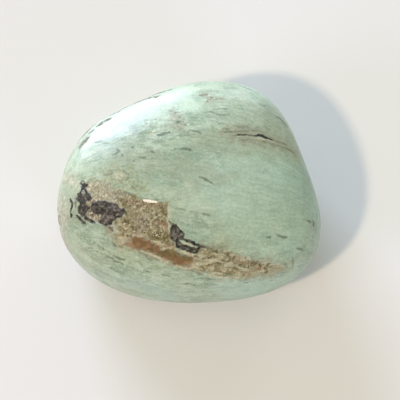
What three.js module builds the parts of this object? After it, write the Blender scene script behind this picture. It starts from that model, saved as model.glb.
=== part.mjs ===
// A tumbled turquoise pebble: one solid stone, worn round and polished.
// Millimetres, +X along its length and +Z up. The origin is under the middle
// of its bounding box, on the surface that the worn belly rests on.
import * as THREE from "three";
import { mergeVertices } from "three/addons/utils/BufferGeometryUtils.js";

// Driving dimensions of the ellipsoid that tumbling brought the rough towards.
const HALF_LENGTH = 15.82;
const HALF_WIDTH = 14.06;
const HALF_HEIGHT = 8.2;

// How much further the shoulders stand out than an ellipsoid's, as a share of
// the radius, half-way round from the girdle to either pole.
const SHOULDER_FULLNESS = 0.1;

// How the plan outline leaves a plain ellipse. A lobe swells the girdle
// `count` times round by `swell` of its radius, once in the direction
// `towards`, in degrees from +X. Three and four lobes make the blunt corners.
const OUTLINE_LOBES = [
  { count: 3, swell: 0.07, towards: -43.6 },
  { count: 4, swell: 0.043, towards: -32.1 },
  { count: 5, swell: 0.01, towards: -10.2 },
  { count: 6, swell: 0.005, towards: 16.2 },
];

// The widest level lies this share of the half height above mid-height.
const GIRDLE_LIFT = -0.06;

// How far the summit leans away from the middle of the plan.
const SUMMIT_LEAN = { x: 0.5, y: -0.4 };

// The belly is worn flat to this depth, and its rim is eased over a band of
// twice REST_EASING in height.
const REST_DEPTH = 0.5;
const REST_EASING = 0.2;

// Tumbling rubbed a wide flat on the back left shoulder too. It faces `azimuth`
// and `elevation`, in degrees, at `distance` from the middle of the rest plane,
// and its rim is eased over a band of twice `easing` in depth.
const SHOULDER_FLAT = { azimuth: 118.3, elevation: 21, distance: 15.69, easing: 0.3 };

// Each of the 20 faces of the starting icosahedron has FACE_STEPS squared facets.
const FACE_STEPS = 20;

// How much longer the lobes make the radius in a unit direction. The power of
// the distance from the vertical axis fades each lobe smoothly at both poles.
function lobeFactor(direction) {
  const fromAxis = Math.hypot(direction.x, direction.y);
  const azimuth = Math.atan2(direction.y, direction.x);
  return OUTLINE_LOBES.reduce((factor, { count, swell, towards }) => {
    const turn = azimuth - THREE.MathUtils.degToRad(towards);
    return factor + swell * fromAxis ** count * Math.cos(count * turn);
  }, 1);
}

// How much further out the shoulders stand in a unit direction: 1 at the girdle
// and at both poles, and most at 45 degrees between them.
function shoulderFactor(direction) {
  const fromAxis = Math.hypot(direction.x, direction.y);
  return 1 + SHOULDER_FULLNESS * (2 * fromAxis * direction.z) ** 2;
}

// Height over a worn plane, with everything under it worn down to the plane.
function wornHeight(height, easing) {
  if (height >= easing) return height;
  if (height <= -easing) return 0;
  return (height + easing) ** 2 / (4 * easing);
}

// Moves a point that stands out past the shoulder's flat down to it.
function rubShoulder(point) {
  const turn = THREE.MathUtils.degToRad(SHOULDER_FLAT.azimuth);
  const lift = THREE.MathUtils.degToRad(SHOULDER_FLAT.elevation);
  const outward = new THREE.Vector3(Math.cos(turn), Math.sin(turn), Math.tan(lift)).normalize();
  const depth = SHOULDER_FLAT.distance - point.dot(outward);
  point.addScaledVector(outward, depth - wornHeight(depth, SHOULDER_FLAT.easing));
}

// Moves a point of the unit sphere to its place on the stone.
function placeOnStone(point) {
  const lobes = lobeFactor(point);
  const shoulders = shoulderFactor(point);
  const level = point.z * shoulders + GIRDLE_LIFT * (1 - point.z ** 2);
  const restHeight = REST_DEPTH - HALF_HEIGHT;
  point.set(
    point.x * HALF_LENGTH * lobes * shoulders + SUMMIT_LEAN.x * level,
    point.y * HALF_WIDTH * lobes * shoulders + SUMMIT_LEAN.y * level,
    wornHeight(level * HALF_HEIGHT - restHeight, REST_EASING),
  );
  rubShoulder(point);
}

// The stone's closed surface, centred over the origin and standing on z = 0.
function stoneGeometry() {
  const sphere = new THREE.IcosahedronGeometry(1, FACE_STEPS - 1);
  sphere.deleteAttribute("normal");
  sphere.deleteAttribute("uv");
  const geometry = mergeVertices(sphere);

  const positions = geometry.getAttribute("position");
  const point = new THREE.Vector3();
  for (let i = 0; i < positions.count; i++) {
    point.fromBufferAttribute(positions, i).normalize();
    placeOnStone(point);
    positions.setXYZ(i, point.x, point.y, point.z);
  }

  geometry.computeBoundingBox();
  const middle = geometry.boundingBox.getCenter(new THREE.Vector3());
  geometry.translate(-middle.x, -middle.y, 0);
  geometry.computeVertexNormals();
  return geometry;
}

const polishedTurquoise = new THREE.MeshStandardMaterial({
  name: "polished_turquoise",
  color: 0xa9bda3,
  roughness: 0.3,
  metalness: 0,
});

const turquoiseStone = new THREE.Group();
turquoiseStone.name = "turquoise_stone";

const stone = new THREE.Mesh(stoneGeometry(), polishedTurquoise);
stone.name = "stone";
turquoiseStone.add(stone);

export default turquoiseStone;
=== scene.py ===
"""A tumbled turquoise pebble with a seam of dark and golden ore, lying on its worn belly."""

import logging
import math
from dataclasses import dataclass, replace
from enum import Enum
from typing import ClassVar

import bmesh
import bpy
import numpy as np
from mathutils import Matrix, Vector
from mathutils.bvhtree import BVHTree

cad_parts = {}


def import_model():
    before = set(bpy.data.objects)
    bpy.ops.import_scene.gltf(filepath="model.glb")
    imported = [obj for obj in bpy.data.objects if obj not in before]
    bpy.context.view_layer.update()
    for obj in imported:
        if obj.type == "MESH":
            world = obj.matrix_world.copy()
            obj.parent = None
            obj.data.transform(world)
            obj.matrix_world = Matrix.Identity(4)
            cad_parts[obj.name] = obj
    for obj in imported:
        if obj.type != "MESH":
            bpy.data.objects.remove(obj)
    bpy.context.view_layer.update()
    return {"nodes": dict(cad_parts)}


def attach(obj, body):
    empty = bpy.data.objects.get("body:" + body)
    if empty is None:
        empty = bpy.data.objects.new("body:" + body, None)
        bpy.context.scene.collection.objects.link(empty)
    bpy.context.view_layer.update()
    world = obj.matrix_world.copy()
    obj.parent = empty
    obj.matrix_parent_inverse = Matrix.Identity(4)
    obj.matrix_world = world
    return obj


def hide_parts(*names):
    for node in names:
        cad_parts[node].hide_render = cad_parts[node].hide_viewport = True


LOG = logging.getLogger("turquoise_stone")

MM = 0.001
BODY = "root"
NODE = "stone"

CHART_CENTRE = (0.0, 0.0, 8.0)
FAR = 3.0
FLOW = "flow"
GRAIN_TONE = "grain_tone"
PIT_SIZE = "pit_size"
NOISE_MIDDLE = (0.5, 0.5, 0.5)

Triple = tuple[float, float, float]
Colour = tuple[float, float, float, float]
Socket = bpy.types.NodeSocket
Fed = Socket | float | tuple


def srgb(red: int, green: int, blue: int) -> Colour:
    """The scene-linear colour of an 8-bit display colour.

    Args:
        red: Red, 0 to 255.
        green: Green, 0 to 255.
        blue: Blue, 0 to 255.

    Returns:
        Red, green, blue and an alpha of 1, as Blender's sockets take them.
    """
    def linear(level: int) -> float:
        """One channel by the sRGB curve."""
        share = level / 255
        return share / 12.92 if share <= 0.04045 else ((share + 0.055) / 1.055) ** 2.4

    return (linear(red), linear(green), linear(blue), 1.0)


def towards(azimuth: float, elevation: float) -> Vector:
    """The unit vector at an azimuth from +X and an elevation, both in degrees."""
    turn, lift = math.radians(azimuth), math.radians(elevation)
    return Vector((math.cos(turn) * math.cos(lift), math.sin(turn) * math.cos(lift), math.sin(lift)))


# ---------------------------------------------------------------------------------------------
# What is marked on the stone, and where
# ---------------------------------------------------------------------------------------------

class Side(Enum):
    """A flat chart laid against the stone, named by the way it faces: azimuth and elevation.

    A place on a chart is given in millimetres right and up from the stone's middle. The
    marks of the face are placed in the main view first, which lays them on its chart.
    """

    FACE = (-90.0, 66.0)
    BACK = (90.0, 15.0)
    RIGHT = (0.0, 5.0)
    LEFT = (180.0, 5.0)
    BELLY = (-90.0, -90.0)

    def axes(self) -> np.ndarray:
        """The chart's right, up and outward unit vectors, as the rows of a matrix.

        Returns:
            The three vectors, in that order.
        """
        turn = math.radians(self.value[0])
        outward = np.array(towards(*self.value))
        right = np.array((-math.sin(turn), math.cos(turn), 0.0))
        return np.stack((right, np.cross(outward, right), outward))


class Mineral(Enum):
    """What a mark is made of, or the painted shade, glare and glints that some marks lay on; the value names
    the skin's attribute that holds its depth.
    """

    # Pale tint of the green, and painted glare on the crown and the left shoulder.
    PALE = "pale_tint_and_glare"
    # A lighter, bluer green.
    COOL = "cool_tint"
    # Painted shade: darker greens laid where the stone lies in shade.
    DUSK = "painted_shade"
    HALO = "beige_halo"
    OLIVE = "olive_stain"
    DASH = "green_dash"
    BLEACH = "bleached_bed"
    BUFF = "buff_crumbs"
    TAIL = "streaky_tail"
    GOLD = "golden_ground"
    ROSE = "rose_beige"
    RUST = "rust"
    MOSS = "moss"
    POOL = "grey_pool"
    AMBER = "amber"
    CREAM = "cream"
    FLECK = "fleck"
    LINE = "dark_line"
    ORE = "ore"
    LILAC = "lilac_sheen"
    BROWN = "brown_rim"
    CRACK = "crack"
    # Painted highlight.
    GLINT = "glint"
    PITTED = "pitted"

    def is_broad(self) -> bool:
        """Whether its marks are so soft that a coarse skin carries them."""
        return self in (Mineral.PALE, Mineral.COOL, Mineral.DUSK, Mineral.HALO, Mineral.OLIVE, Mineral.BLEACH)


@dataclass(frozen=True)
class Mark:
    """A mineral's mark on one side of the stone.

    Attributes:
        name: What it is.
        mineral: What it is made of.
        side: The chart that its points are on.
        points: Right and up on the chart, and for a vein its half width too, all in
            millimetres; or the same in the main view, before that lays the mark.
        closed: Whether the points go round an outline, not along a vein.
    """

    name: str
    mineral: Mineral
    side: Side
    points: tuple[tuple[float, ...], ...]
    closed: bool


def ground_of(mesh: bpy.types.Mesh) -> BVHTree:
    """A mesh's surface in millimetres, for marks to be laid on.

    Args:
        mesh: The mesh, in metres.

    Returns:
        Its surface.
    """
    places = np.empty(len(mesh.vertices) * 3)
    mesh.vertices.foreach_get("co", places)
    faces = [tuple(face.vertices) for face in mesh.polygons]
    return BVHTree.FromPolygons((places.reshape(-1, 3) / MM).tolist(), faces)


@dataclass(frozen=True)
class MainView:
    """The view straight onto the face, in which the marks of that side are placed.

    A place in it is given in units right and down from its upper left corner.

    Attributes:
        aim: The point that it looks at, in millimetres.
        distance: How far away from that point it looks from, in millimetres.
        units: How many units it is wide, and high.
        units_at_aim: How many units a millimetre takes up at that point.
        unit_on_face: How long a unit is on the stone, in millimetres.
        inside: A place well within the stone's edge.
        draw_in: How far a place past the edge moves towards the inside at a time, in units.
        most_draws: How often it moves at the most.
        thinnest: The least half width of a vein, in millimetres.
    """

    aim: Triple = (1.44, -1.85, 8.0)
    distance: float = 170.0
    units: float = 400.0
    units_at_aim: float = 8.25
    unit_on_face: float = 0.118
    inside: tuple[float, float] = (190.0, 190.0)
    draw_in: float = 0.5
    most_draws: int = 11
    thinnest: float = 0.05

    def eye(self) -> np.ndarray:
        """The point that it looks from, in millimetres."""
        return self.aim + Side.FACE.axes()[2] * self.distance

    def lay(self, mark: Mark, ground: BVHTree) -> Mark:
        """Lays a mark of this view on the face's chart.

        Args:
            mark: The mark, with its points in this view's units.
            ground: The stone's surface, in millimetres.

        Returns:
            The same mark, with its points in millimetres on the chart.
        """
        points = []
        for across, down, *half_width in mark.points:
            widths = (max(self.thinnest, round(half * self.unit_on_face, 2)) for half in half_width)
            points.append((*self._on_chart(np.array((across, down)), ground), *widths))
        return replace(mark, points=tuple(points))

    def _on_chart(self, place: np.ndarray, ground: BVHTree) -> tuple[float, float]:
        """Where a place lies on the face's chart, to a tenth of a millimetre.

        Args:
            place: The place, right and down in this view.
            ground: The stone's surface.

        Returns:
            Right and up on the chart, in millimetres.
        """
        right, up, outward = Side.FACE.axes()
        inward = np.array(self.inside) - place
        inward /= np.linalg.norm(inward)
        for draws in range(self.most_draws + 1):
            across, down = place + inward * draws * self.draw_in - self.units / 2
            sight = (right * across - up * down) / self.units_at_aim - outward * self.distance
            hit = ground.ray_cast(Vector(self.eye()), Vector(sight).normalized())[0]
            if hit is not None:
                break
        from_centre = np.array(hit) - CHART_CENTRE
        return round(float(from_centre @ right), 1), round(float(from_centre @ up), 1)


def blot(name: str, mineral: Mineral, *outline: tuple[float, float]) -> Mark:
    """A mark inside a smooth outline."""
    return Mark(name, mineral, Side.FACE, outline, True)


def vein(name: str, mineral: Mineral, *route: Triple) -> Mark:
    """A mark along a smooth route, as wide at each point as its third number says."""
    return Mark(name, mineral, Side.FACE, route, False)


def veins(name: str, mineral: Mineral, *routes: tuple[Triple, ...]) -> tuple[Mark, ...]:
    """Separate veins of one mineral."""
    return tuple(vein(name, mineral, *route) for route in routes)


def flecks(name: str, mineral: Mineral, *spots: Triple) -> tuple[Mark, ...]:
    """Separate round spots of one mineral."""
    return tuple(vein(name, mineral, spot) for spot in spots)


def on(side: Side, *marks: Mark) -> tuple[Mark, ...]:
    """Marks moved to another side's chart, as they stand."""
    return tuple(replace(mark, side=side) for mark in marks)


# The seam of ore, golden ground and amber, from the left end to the right rim, with a painted glint on its
# upper edge; and pale tints over the green, where the crown and the left shoulder get painted glare.
SEAM = (
    vein("ore head left", Mineral.ORE, (82.6, 180.4, 0.4), (81.2, 181.4, 0.6), (80.9, 183, 1.3),
         (81.2, 184.8, 1.4), (82.4, 186.6, 1.4)),
    vein("ore head right", Mineral.ORE, (82.8, 180.4, 0.4), (84.2, 181.6, 0.7), (84.8, 183, 0.8),
         (84.2, 185, 1)),
    vein("ore head bud", Mineral.ORE, (86, 184.6, 0.9), (85.2, 185.6, 1.4), (84, 186.8, 1.4)),
    vein("ore trunk", Mineral.ORE, (83, 184.8, 1.8), (83.4, 186.6, 2.5), (82.8, 189, 2.2)),
    vein("ore fork left", Mineral.ORE, (81.8, 189.8, 1.3), (80.6, 191.2, 1.1), (79.2, 193.2, 1.3)),
    vein("ore fork right", Mineral.ORE, (83.8, 188.8, 1.2), (85, 190.4, 1.4), (86.4, 192.4, 1.6)),
    blot("ore column", Mineral.ORE, (77.2, 194), (79.2, 192.6), (80.8, 192.6), (81.8, 194.2), (84, 194),
         (85, 191.4), (87.3, 191.8), (89.8, 193.5), (91, 196), (90.8, 199.4), (88.5, 200.6), (86.4, 200.9),
         (85.7, 203), (86.6, 206), (89, 206.3), (90.2, 207.6), (88.4, 209.6), (88.3, 211.6), (85.6, 212.6),
         (84.6, 215.3), (81.4, 216.3), (79.2, 214.2), (77.2, 211.8), (77.7, 208.5), (78.8, 205.5),
         (79, 202.4), (78, 201.4), (75.4, 198.8), (77, 196.2)),
    blot("ore leaf", Mineral.ORE, (91.8, 208.5), (92.6, 205), (94.8, 202.2), (98.5, 200.5), (101.3, 199.8),
         (104.5, 201.2), (109, 201.6), (113.5, 203), (117.3, 204.6), (119.2, 207.6), (123.4, 207.6),
         (125.3, 210.2), (126.4, 213), (123.7, 215.2), (121, 217.7), (117, 217.3), (114.8, 220.2),
         (112.3, 221.3), (112.3, 224.2), (109, 225.6), (104.2, 224.8), (100, 223.3), (97.8, 221.6),
         (100.2, 219.3), (99.3, 216.7), (100.4, 214.5), (97, 213.6), (94.3, 212.6), (92.4, 212.2)),
    blot("dusky stone beside the leaf", Mineral.BROWN, (87.6, 204), (89.6, 201.2), (94, 200.5), (96, 206),
         (95.5, 212), (98.5, 214.5), (98.5, 218.5), (95.5, 216.5), (91.5, 215.8), (88.6, 216.6),
         (86.4, 214.6), (88.4, 212.4), (88, 208.4)),
    vein("ore thread beside the leaf", Mineral.ORE, (92.8, 201.4, 0.6), (92.6, 204, 1.1), (91.8, 207, 1.2),
         (91.6, 210.4, 0.9), (92.4, 212.6, 0.4)),
    vein("column notch", Mineral.LILAC, (82.8, 191.8, 1.1), (83, 193.6, 1)),
    blot("ore knot", Mineral.ORE, (169.8, 230.6), (171.2, 226.6), (173.4, 223.6), (176.6, 224.6),
         (179.4, 228.8), (182, 230.4), (184.8, 233), (184, 236.4), (182.8, 239.2), (180, 240),
         (178.5, 241.4), (175.3, 241.2), (171, 240.2), (169.6, 235.5)),
    blot("ore bar", Mineral.ORE, (175.8, 240.6), (179.5, 241.4), (183, 243.8), (190.5, 246.4),
         (195, 247.6), (198.2, 249.2), (197.6, 252.2), (193.8, 253.8), (189, 252.4), (185, 250.6),
         (180.5, 249), (176.4, 246.6)),
    vein("upper bar", Mineral.ORE, (181.8, 238.6, 1.1), (186.5, 240.4, 1.4), (190.5, 242.1, 1.5),
         (195, 244, 1.5), (199.5, 245.6, 1.4), (204.2, 246.9, 0.9)),
    vein("bar end", Mineral.ORE, (197, 249, 1.5), (199.4, 247.4, 1.2)),
    vein("knot wisp", Mineral.FLECK, (169, 220.6, 0.9), (171.6, 223.4, 1.3), (174.2, 225.6, 1.5)),
    vein("left streak", Mineral.ORE, (69.6, 199.2, 1.1), (71.5, 201.5, 1.5), (72.2, 204.5, 1.5),
         (71.5, 207.8, 1.3), (70.6, 210.3, 1), (70.4, 212.2, 0.6)),
    vein("left streak foot", Mineral.ORE, (70.8, 213.3, 1.2), (71.2, 215.4, 1.6), (70.8, 217.2, 1.1)),
    vein("column root", Mineral.ORE, (76.6, 215.2, 1.1), (78.6, 217, 1.7), (80.3, 219, 1.6),
         (82.3, 221.4, 1.4), (85, 223, 1.2)),
    vein("column spur", Mineral.ORE, (84.6, 215, 1.3), (86, 217.8, 1.7), (89.2, 219.6, 1.5),
         (92, 221.3, 1.4), (94.8, 222.4, 0.9)),
    vein("leaf heel", Mineral.FLECK, (104, 224.7, 1), (109, 226.9, 1.5), (111.5, 228.4, 1.6),
         (112.2, 230.4, 0.9)),
    vein("haze of the leaf heel", Mineral.ROSE, (106.5, 231, 1.3), (110, 232.4, 1.8), (113, 234.6, 1.4)),
    vein("column sheen", Mineral.LILAC, (83.6, 194.6, 1.9), (82.2, 198.5, 1.6)),
    vein("column sheen low", Mineral.LILAC, (84.6, 196.6, 1), (84.8, 199.6, 1.2)),
    vein("column sheen foot", Mineral.LILAC, (81, 209.5, 1), (80.6, 212, 0.9)),
    vein("root sheen", Mineral.HALO, (83.6, 218.6, 1), (84.4, 220.4, 0.9)),
    vein("leaf sheen", Mineral.LILAC, (100.5, 217, 1.5), (104.7, 215.6, 2.2), (109.2, 216.4, 1.8),
         (113, 217.6, 1.2)),
    vein("leaf sheen low", Mineral.LILAC, (103.3, 222.2, 1.6), (105.8, 219.8, 1.9)),
    vein("leaf sheen left", Mineral.LILAC, (99.6, 206.3, 0.9), (103.4, 205, 1.1)),
    vein("leaf sheen mid", Mineral.LILAC, (106.5, 208.8, 1.3), (110, 207.4, 1.2)),
    vein("leaf sheen right", Mineral.LILAC, (112.4, 204.8, 1.3), (113.8, 209, 1.6)),
    vein("leaf sheen tip", Mineral.LILAC, (114.6, 207.4, 1.3), (118.4, 209.2, 1.3)),
    vein("leaf sheen end", Mineral.LILAC, (116.3, 213.8, 1.2), (118.8, 214.6, 1)),
    vein("knot sheen", Mineral.LILAC, (173.2, 232.6, 1.9), (174.8, 236.6, 2.1)),
    vein("knot sheen right", Mineral.LILAC, (179.2, 236.8, 1.4), (181.4, 234.4, 1.5)),
    vein("knot sheen up", Mineral.LILAC, (176.6, 229.3, 1.1), (178, 231.5, 1.2)),
    vein("knot spark", Mineral.CREAM, (179.2, 234.6, 0.9)),
    vein("bar glow", Mineral.CREAM, (182.6, 241.6, 0.9), (187, 243.4, 1.2), (193, 245.7, 1.1),
         (198, 247.6, 0.7)),
    vein("bar glow left", Mineral.LILAC, (177.5, 243.6, 1.2), (180.8, 244.8, 1)),
    vein("bar spark", Mineral.CREAM, (185.8, 246.6, 1), (187, 246.8, 0.9)),
    vein("bar spark low", Mineral.LILAC, (185.6, 248.4, 1.2), (187.4, 248.8, 1)),
    vein("bar spark end", Mineral.LILAC, (192.4, 250.6, 1.3), (194.2, 250.8, 1.1)),
    blot("golden field", Mineral.GOLD, (117, 203), (122, 196), (133, 195.6), (144, 199), (156, 201.5),
         (168, 202.3), (167.6, 216), (169, 230), (170.3, 241), (176, 249.5), (165, 250.3), (155, 246),
         (150, 240.5), (140, 237), (128, 236.5), (122, 236), (118.6, 230), (114.6, 223.6), (113.6, 219.6),
         (119.5, 218.5), (123, 216.5), (126.8, 213), (124, 207.5), (119.5, 206)),
    blot("golden tail", Mineral.TAIL, (195, 254), (203, 247.5), (212, 249), (222, 250.5), (230, 252.7),
         (239, 255.5), (248, 258.7), (258, 261.7), (270, 263.3), (283, 265.5), (279, 270.7), (270, 274.5),
         (258, 277), (245, 278), (232, 277.5), (216, 275), (200, 271), (191, 268), (191, 261)),
    blot("amber", Mineral.AMBER, (130.5, 244), (131.5, 240.4), (133.5, 237.6), (137, 236.4), (141.5, 238),
         (146.5, 239.8), (151, 241.3), (153.5, 244), (157.5, 246.3), (160.5, 250), (166, 249.8),
         (171, 249.7), (175.5, 252), (180, 254.7), (187, 255.7), (191.5, 258), (192.4, 261),
         (188.5, 264.3), (181, 265.7), (173, 263.8), (165, 260), (158.5, 256), (150, 252.6), (141, 249.6),
         (134, 248)),
    blot("haze left of the amber", Mineral.TAIL, (119, 231), (126, 235.5), (133, 237), (137, 242),
         (136, 248.5), (130, 250.5), (124, 249.5), (119, 246.5), (116, 240), (115, 232)),
    vein("rust left of the amber", Mineral.RUST, (126.6, 242.6, 1.6), (131, 245.6, 2)),
    vein("amber shade", Mineral.FLECK, (148, 248.5, 1.3), (151.8, 248.3, 1.5), (153.2, 244.8, 1.1)),
    vein("amber shade mid", Mineral.MOSS, (163, 252.5, 2), (171, 252.2, 2.4), (175, 255, 1.6)),
    vein("amber shade right", Mineral.MOSS, (183, 258.5, 2), (189, 259.2, 2.4)),
    blot("amber bed", Mineral.ROSE, (124, 238), (135, 234.5), (152, 239), (160, 247), (178, 250.5),
         (194, 258), (191, 267.5), (176, 266.5), (160, 260.5), (145, 253.5), (130, 250), (123, 246)),
    blot("beige crumbs", Mineral.BUFF, (85.5, 183), (91, 179), (100, 181), (110, 186), (121, 189.5),
         (128, 194.5), (127, 205), (121, 218), (113, 221.5), (108, 226), (98, 223.5), (90, 221.5),
         (85, 216.5), (85, 205), (88, 197), (85, 190)),
    vein("shade left of the column", Mineral.BROWN, (74.6, 199, 0.9), (75.4, 202.4, 1.4), (75, 206, 1)),
    vein("shade at the root", Mineral.HALO, (75.4, 212, 1.2), (77, 216.4, 1.7), (80, 221.6, 1.8)),
    blot("beige notch", Mineral.BLEACH, (86.8, 214.6), (90, 212.6), (94, 213), (98, 216), (98.8, 219.2),
         (97.2, 222.2), (92.6, 220.2), (88.6, 217.8)),
    vein("shade of the notch", Mineral.BROWN, (96.8, 219.4, 1.1), (100.4, 221, 1.3)),
    blot("beige left shoulder", Mineral.BLEACH, (64, 175), (69, 172.5), (75, 175.5), (78.5, 180),
         (77, 186.5), (70, 187.5), (64, 186), (61.5, 181)),
    blot("beige left rim", Mineral.BLEACH, (57.5, 197), (62, 193), (67, 198), (69, 206), (68.5, 214),
         (66, 222), (60, 224), (57, 215), (56.5, 205)),
    vein("dusk of the left rim", Mineral.HALO, (60, 205, 2), (59.5, 216, 2.4), (61.5, 228, 2)),
    # Painted glare along the left shoulder's rim.
    vein("painted glare on the shoulder", Mineral.PALE, (62, 186, 2.5), (62.5, 180, 4), (67, 172, 4), (73, 160, 4)),
    # Painted glare along the crown's rim.
    vein("painted glare on the crown", Mineral.PALE, (166, 92, 3), (180, 89, 5), (196, 87, 6.5), (210, 87.5, 6),
         (220, 88, 4)),
    vein("pale slope", Mineral.PALE, (160, 112, 4), (172, 107, 6), (184, 105, 7), (196, 107, 8),
         (205, 106, 6), (214, 103, 4)),
    vein("pale over the cloud", Mineral.PALE, (98, 168, 3), (106, 165, 4), (114, 163.5, 4), (122, 163, 3)),
    vein("pale by the shoulder", Mineral.PALE, (79, 171, 3), (87, 170, 3.5)),
    vein("pale by the knot", Mineral.PALE, (171, 211, 3), (181, 214, 4)),
    vein("pale low left", Mineral.PALE, (96, 243, 2.5), (105, 248, 3)),
    vein("pale pool right end", Mineral.PALE, (256, 226, 4), (267, 222.5, 6), (277, 220, 4)),
    vein("pale over the tail", Mineral.PALE, (262, 256.5, 3), (273, 259, 3)),
    # Painted glare further right along the crown's rim.
    vein("painted glare on the crown right", Mineral.PALE, (244, 89.5, 2.5), (254, 92, 3.5), (262, 96, 2)),
    vein("bluish left", Mineral.PALE, (68, 192, 3), (73, 191, 3)),
    blot("beige foot", Mineral.BLEACH, (112.5, 224), (116.5, 221), (120, 226), (122, 234), (126, 239.5),
         (125, 247), (119.5, 250), (114.5, 244), (112, 234)),
    vein("cream bar left", Mineral.CREAM, (112.3, 226, 0.7), (111.6, 230.5, 0.7)),
    vein("rust top", Mineral.RUST, (128, 200.5, 1.8), (138, 202.5, 2.6), (150, 205.3, 2.8),
         (160, 204.3, 2)),
    vein("rust orange", Mineral.RUST, (158, 222, 2), (163, 223, 2.6), (166.5, 228, 1.8)),
    vein("rust left", Mineral.RUST, (123.5, 226, 1.6), (126, 229.5, 1.8)),
    vein("rust in tail", Mineral.RUST, (243, 273.3, 1.6), (250, 274.2, 1.8)),
    vein("rust in tail right", Mineral.RUST, (253, 269.6, 2.2), (261, 269.2, 2)),
    vein("rose block", Mineral.ROSE, (160.5, 222, 2.2), (165, 221.3, 1.6)),
    vein("rose pad", Mineral.ROSE, (170, 246.3, 2.8), (174, 243, 3.6)),
    vein("rose line", Mineral.ROSE, (156, 243, 1.4), (165, 247.3, 1.8), (175, 247.5, 1.5)),
    vein("rose tail left", Mineral.ROSE, (235.5, 257.6, 1.8), (238, 258.6, 1.4)),
    vein("rose tail", Mineral.ROSE, (241, 262.3, 1.8), (246, 265.6, 1.7)),
    vein("rose tip", Mineral.ROSE, (272, 270.6, 1.5), (281, 270.2, 1.1)),
    blot("moss patch", Mineral.MOSS, (150.5, 235.5), (152.5, 231.5), (157, 230.8), (162, 231.8),
         (167, 232.5), (168.8, 236.5), (168.6, 241.8), (162, 242.3), (156, 240.3), (151.5, 239)),
    vein("moss right", Mineral.MOSS, (161.5, 205.5, 1.8), (163.5, 210, 2.4), (165.5, 215, 1.6)),
    vein("moss column", Mineral.MOSS, (147.5, 226, 1.2), (147.2, 233, 1.6)),
    vein("moss left", Mineral.MOSS, (122.5, 200.5, 2.8), (126, 206, 2.2)),
    vein("moss by the leaf", Mineral.MOSS, (124, 209, 1.3), (126, 213, 1.4)),
    vein("moss low", Mineral.MOSS, (123.5, 221.5, 1.8), (128, 222.3, 2.2), (133, 221.8, 1.6)),
    blot("grey pool in the gold", Mineral.POOL, (136.5, 223), (138, 217.5), (142.5, 215.5), (146.5, 219),
         (147, 226), (144, 231.5), (139.5, 232.5), (136, 229.5)),
    vein("moss tail upper", Mineral.MOSS, (208, 248.6, 0.8), (213, 249.6, 1.2), (217, 251.3, 1.7)),
    vein("tail brow", Mineral.LINE, (203, 246.4, 0.9), (209, 248, 1.1), (215, 249.8, 1.2), (222, 252, 1)),
    vein("moss tail", Mineral.MOSS, (200, 265.6, 1), (212, 264.3, 1.6), (222, 266.5, 1.4)),
    vein("moss tail low", Mineral.MOSS, (203, 270.5, 1.2), (214, 270.8, 1), (229, 274.5, 1.8)),
    vein("moss tail green", Mineral.MOSS, (231.3, 272, 1.4), (235.2, 269.7, 1.3)),
    vein("moss tail end", Mineral.MOSS, (243, 279, 1), (243.5, 275.5, 0.8)),
    # Painted highlight: a near-white glint on the seam's upper edge.
    vein("glint", Mineral.GLINT, (144.3, 200.3, 1.1), (150, 200.9, 1.3), (157, 201.9, 0.6)),
    vein("cream under gold", Mineral.CREAM, (125.4, 233.8, 0.9), (129, 233.6, 1.4), (135, 235.3, 1),
         (142, 235.5, 0.9)),
    vein("rust under gold", Mineral.ROSE, (121.6, 234, 1.4), (124, 237, 1.6)),
    vein("cream step", Mineral.CREAM, (151.5, 241.3, 1), (157, 243, 1.5), (163, 244.5, 1.3)),
    vein("cream crest", Mineral.CREAM, (160, 249.9, 0.7), (165.5, 248.4, 1), (172, 247.8, 0.8)),
    vein("cream below amber", Mineral.CREAM, (140.5, 250.7, 0.8), (150, 254.3, 1.2), (160, 258.3, 1.3),
         (168, 261.7, 1)),
    vein("cream skirt", Mineral.CREAM, (176, 265.7, 0.9), (184, 268, 1.2), (191, 268.3, 1)),
    vein("cream under bars", Mineral.CREAM, (181, 250.8, 1.2), (187, 253.7, 1.4), (195, 255.3, 1.2)),
    vein("cream dash", Mineral.CREAM, (198.5, 255.3, 0.9), (205, 258.5, 0.8)),
    vein("cream tail", Mineral.CREAM, (196, 263.7, 1.1), (205, 264.3, 1.2), (212, 261.5, 1.3),
         (218, 261, 1.1), (224, 263.7, 1.1)),
    vein("cream tail hem", Mineral.CREAM, (208, 274.6, 0.8), (220, 276.9, 1), (231, 278.3, 1),
         (238.5, 277.8, 0.8)),
    vein("cream tail mid", Mineral.CREAM, (222, 270.4, 1.2), (227.5, 271.8, 1.2)),
    vein("cream spot", Mineral.CREAM, (240.5, 259, 1.3), (245, 260, 1.2)),
    vein("cream spot right", Mineral.CREAM, (261, 271.6, 1), (263.5, 271.4, 0.9)),
    vein("cream crumb", Mineral.CREAM, (124, 228, 1.3)),
    vein("cream crumb up", Mineral.CREAM, (123, 197.3, 1.2), (126, 196.3, 0.9)),
    vein("cream crumb mid", Mineral.CREAM, (133.5, 206.3, 1.5)),
    vein("cream crumb right", Mineral.CREAM, (150.3, 221, 0.8), (150.5, 227, 1.1)),
    vein("cream crumb fold", Mineral.CREAM, (154.7, 220, 0.7), (155.5, 223, 0.7)),
    vein("cream shore", Mineral.CREAM, (168.7, 203.5, 0.8), (168.9, 209, 0.9), (169.5, 228.5, 1.1)),
    vein("cream column", Mineral.CREAM, (88.3, 183.5, 1.2), (91, 183, 1.5)),
    vein("cream column low", Mineral.CREAM, (87, 188.3, 1.2), (89.5, 189.5, 1.1)),
    vein("cream crumb left", Mineral.CREAM, (136.6, 203.4, 1.2), (139, 203, 1)),
    vein("cream by column", Mineral.CREAM, (88.5, 203, 1.4)),
    vein("cream by leaf", Mineral.CREAM, (95.8, 200.7, 1), (98.5, 198, 1.1)),
    vein("cream notch", Mineral.CREAM, (86, 213, 1)),
    vein("cream crumbs up", Mineral.CREAM, (101.5, 194.5, 1.2)),
    vein("cream crumbs top", Mineral.CREAM, (102.5, 187, 1.2)),
)

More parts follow.
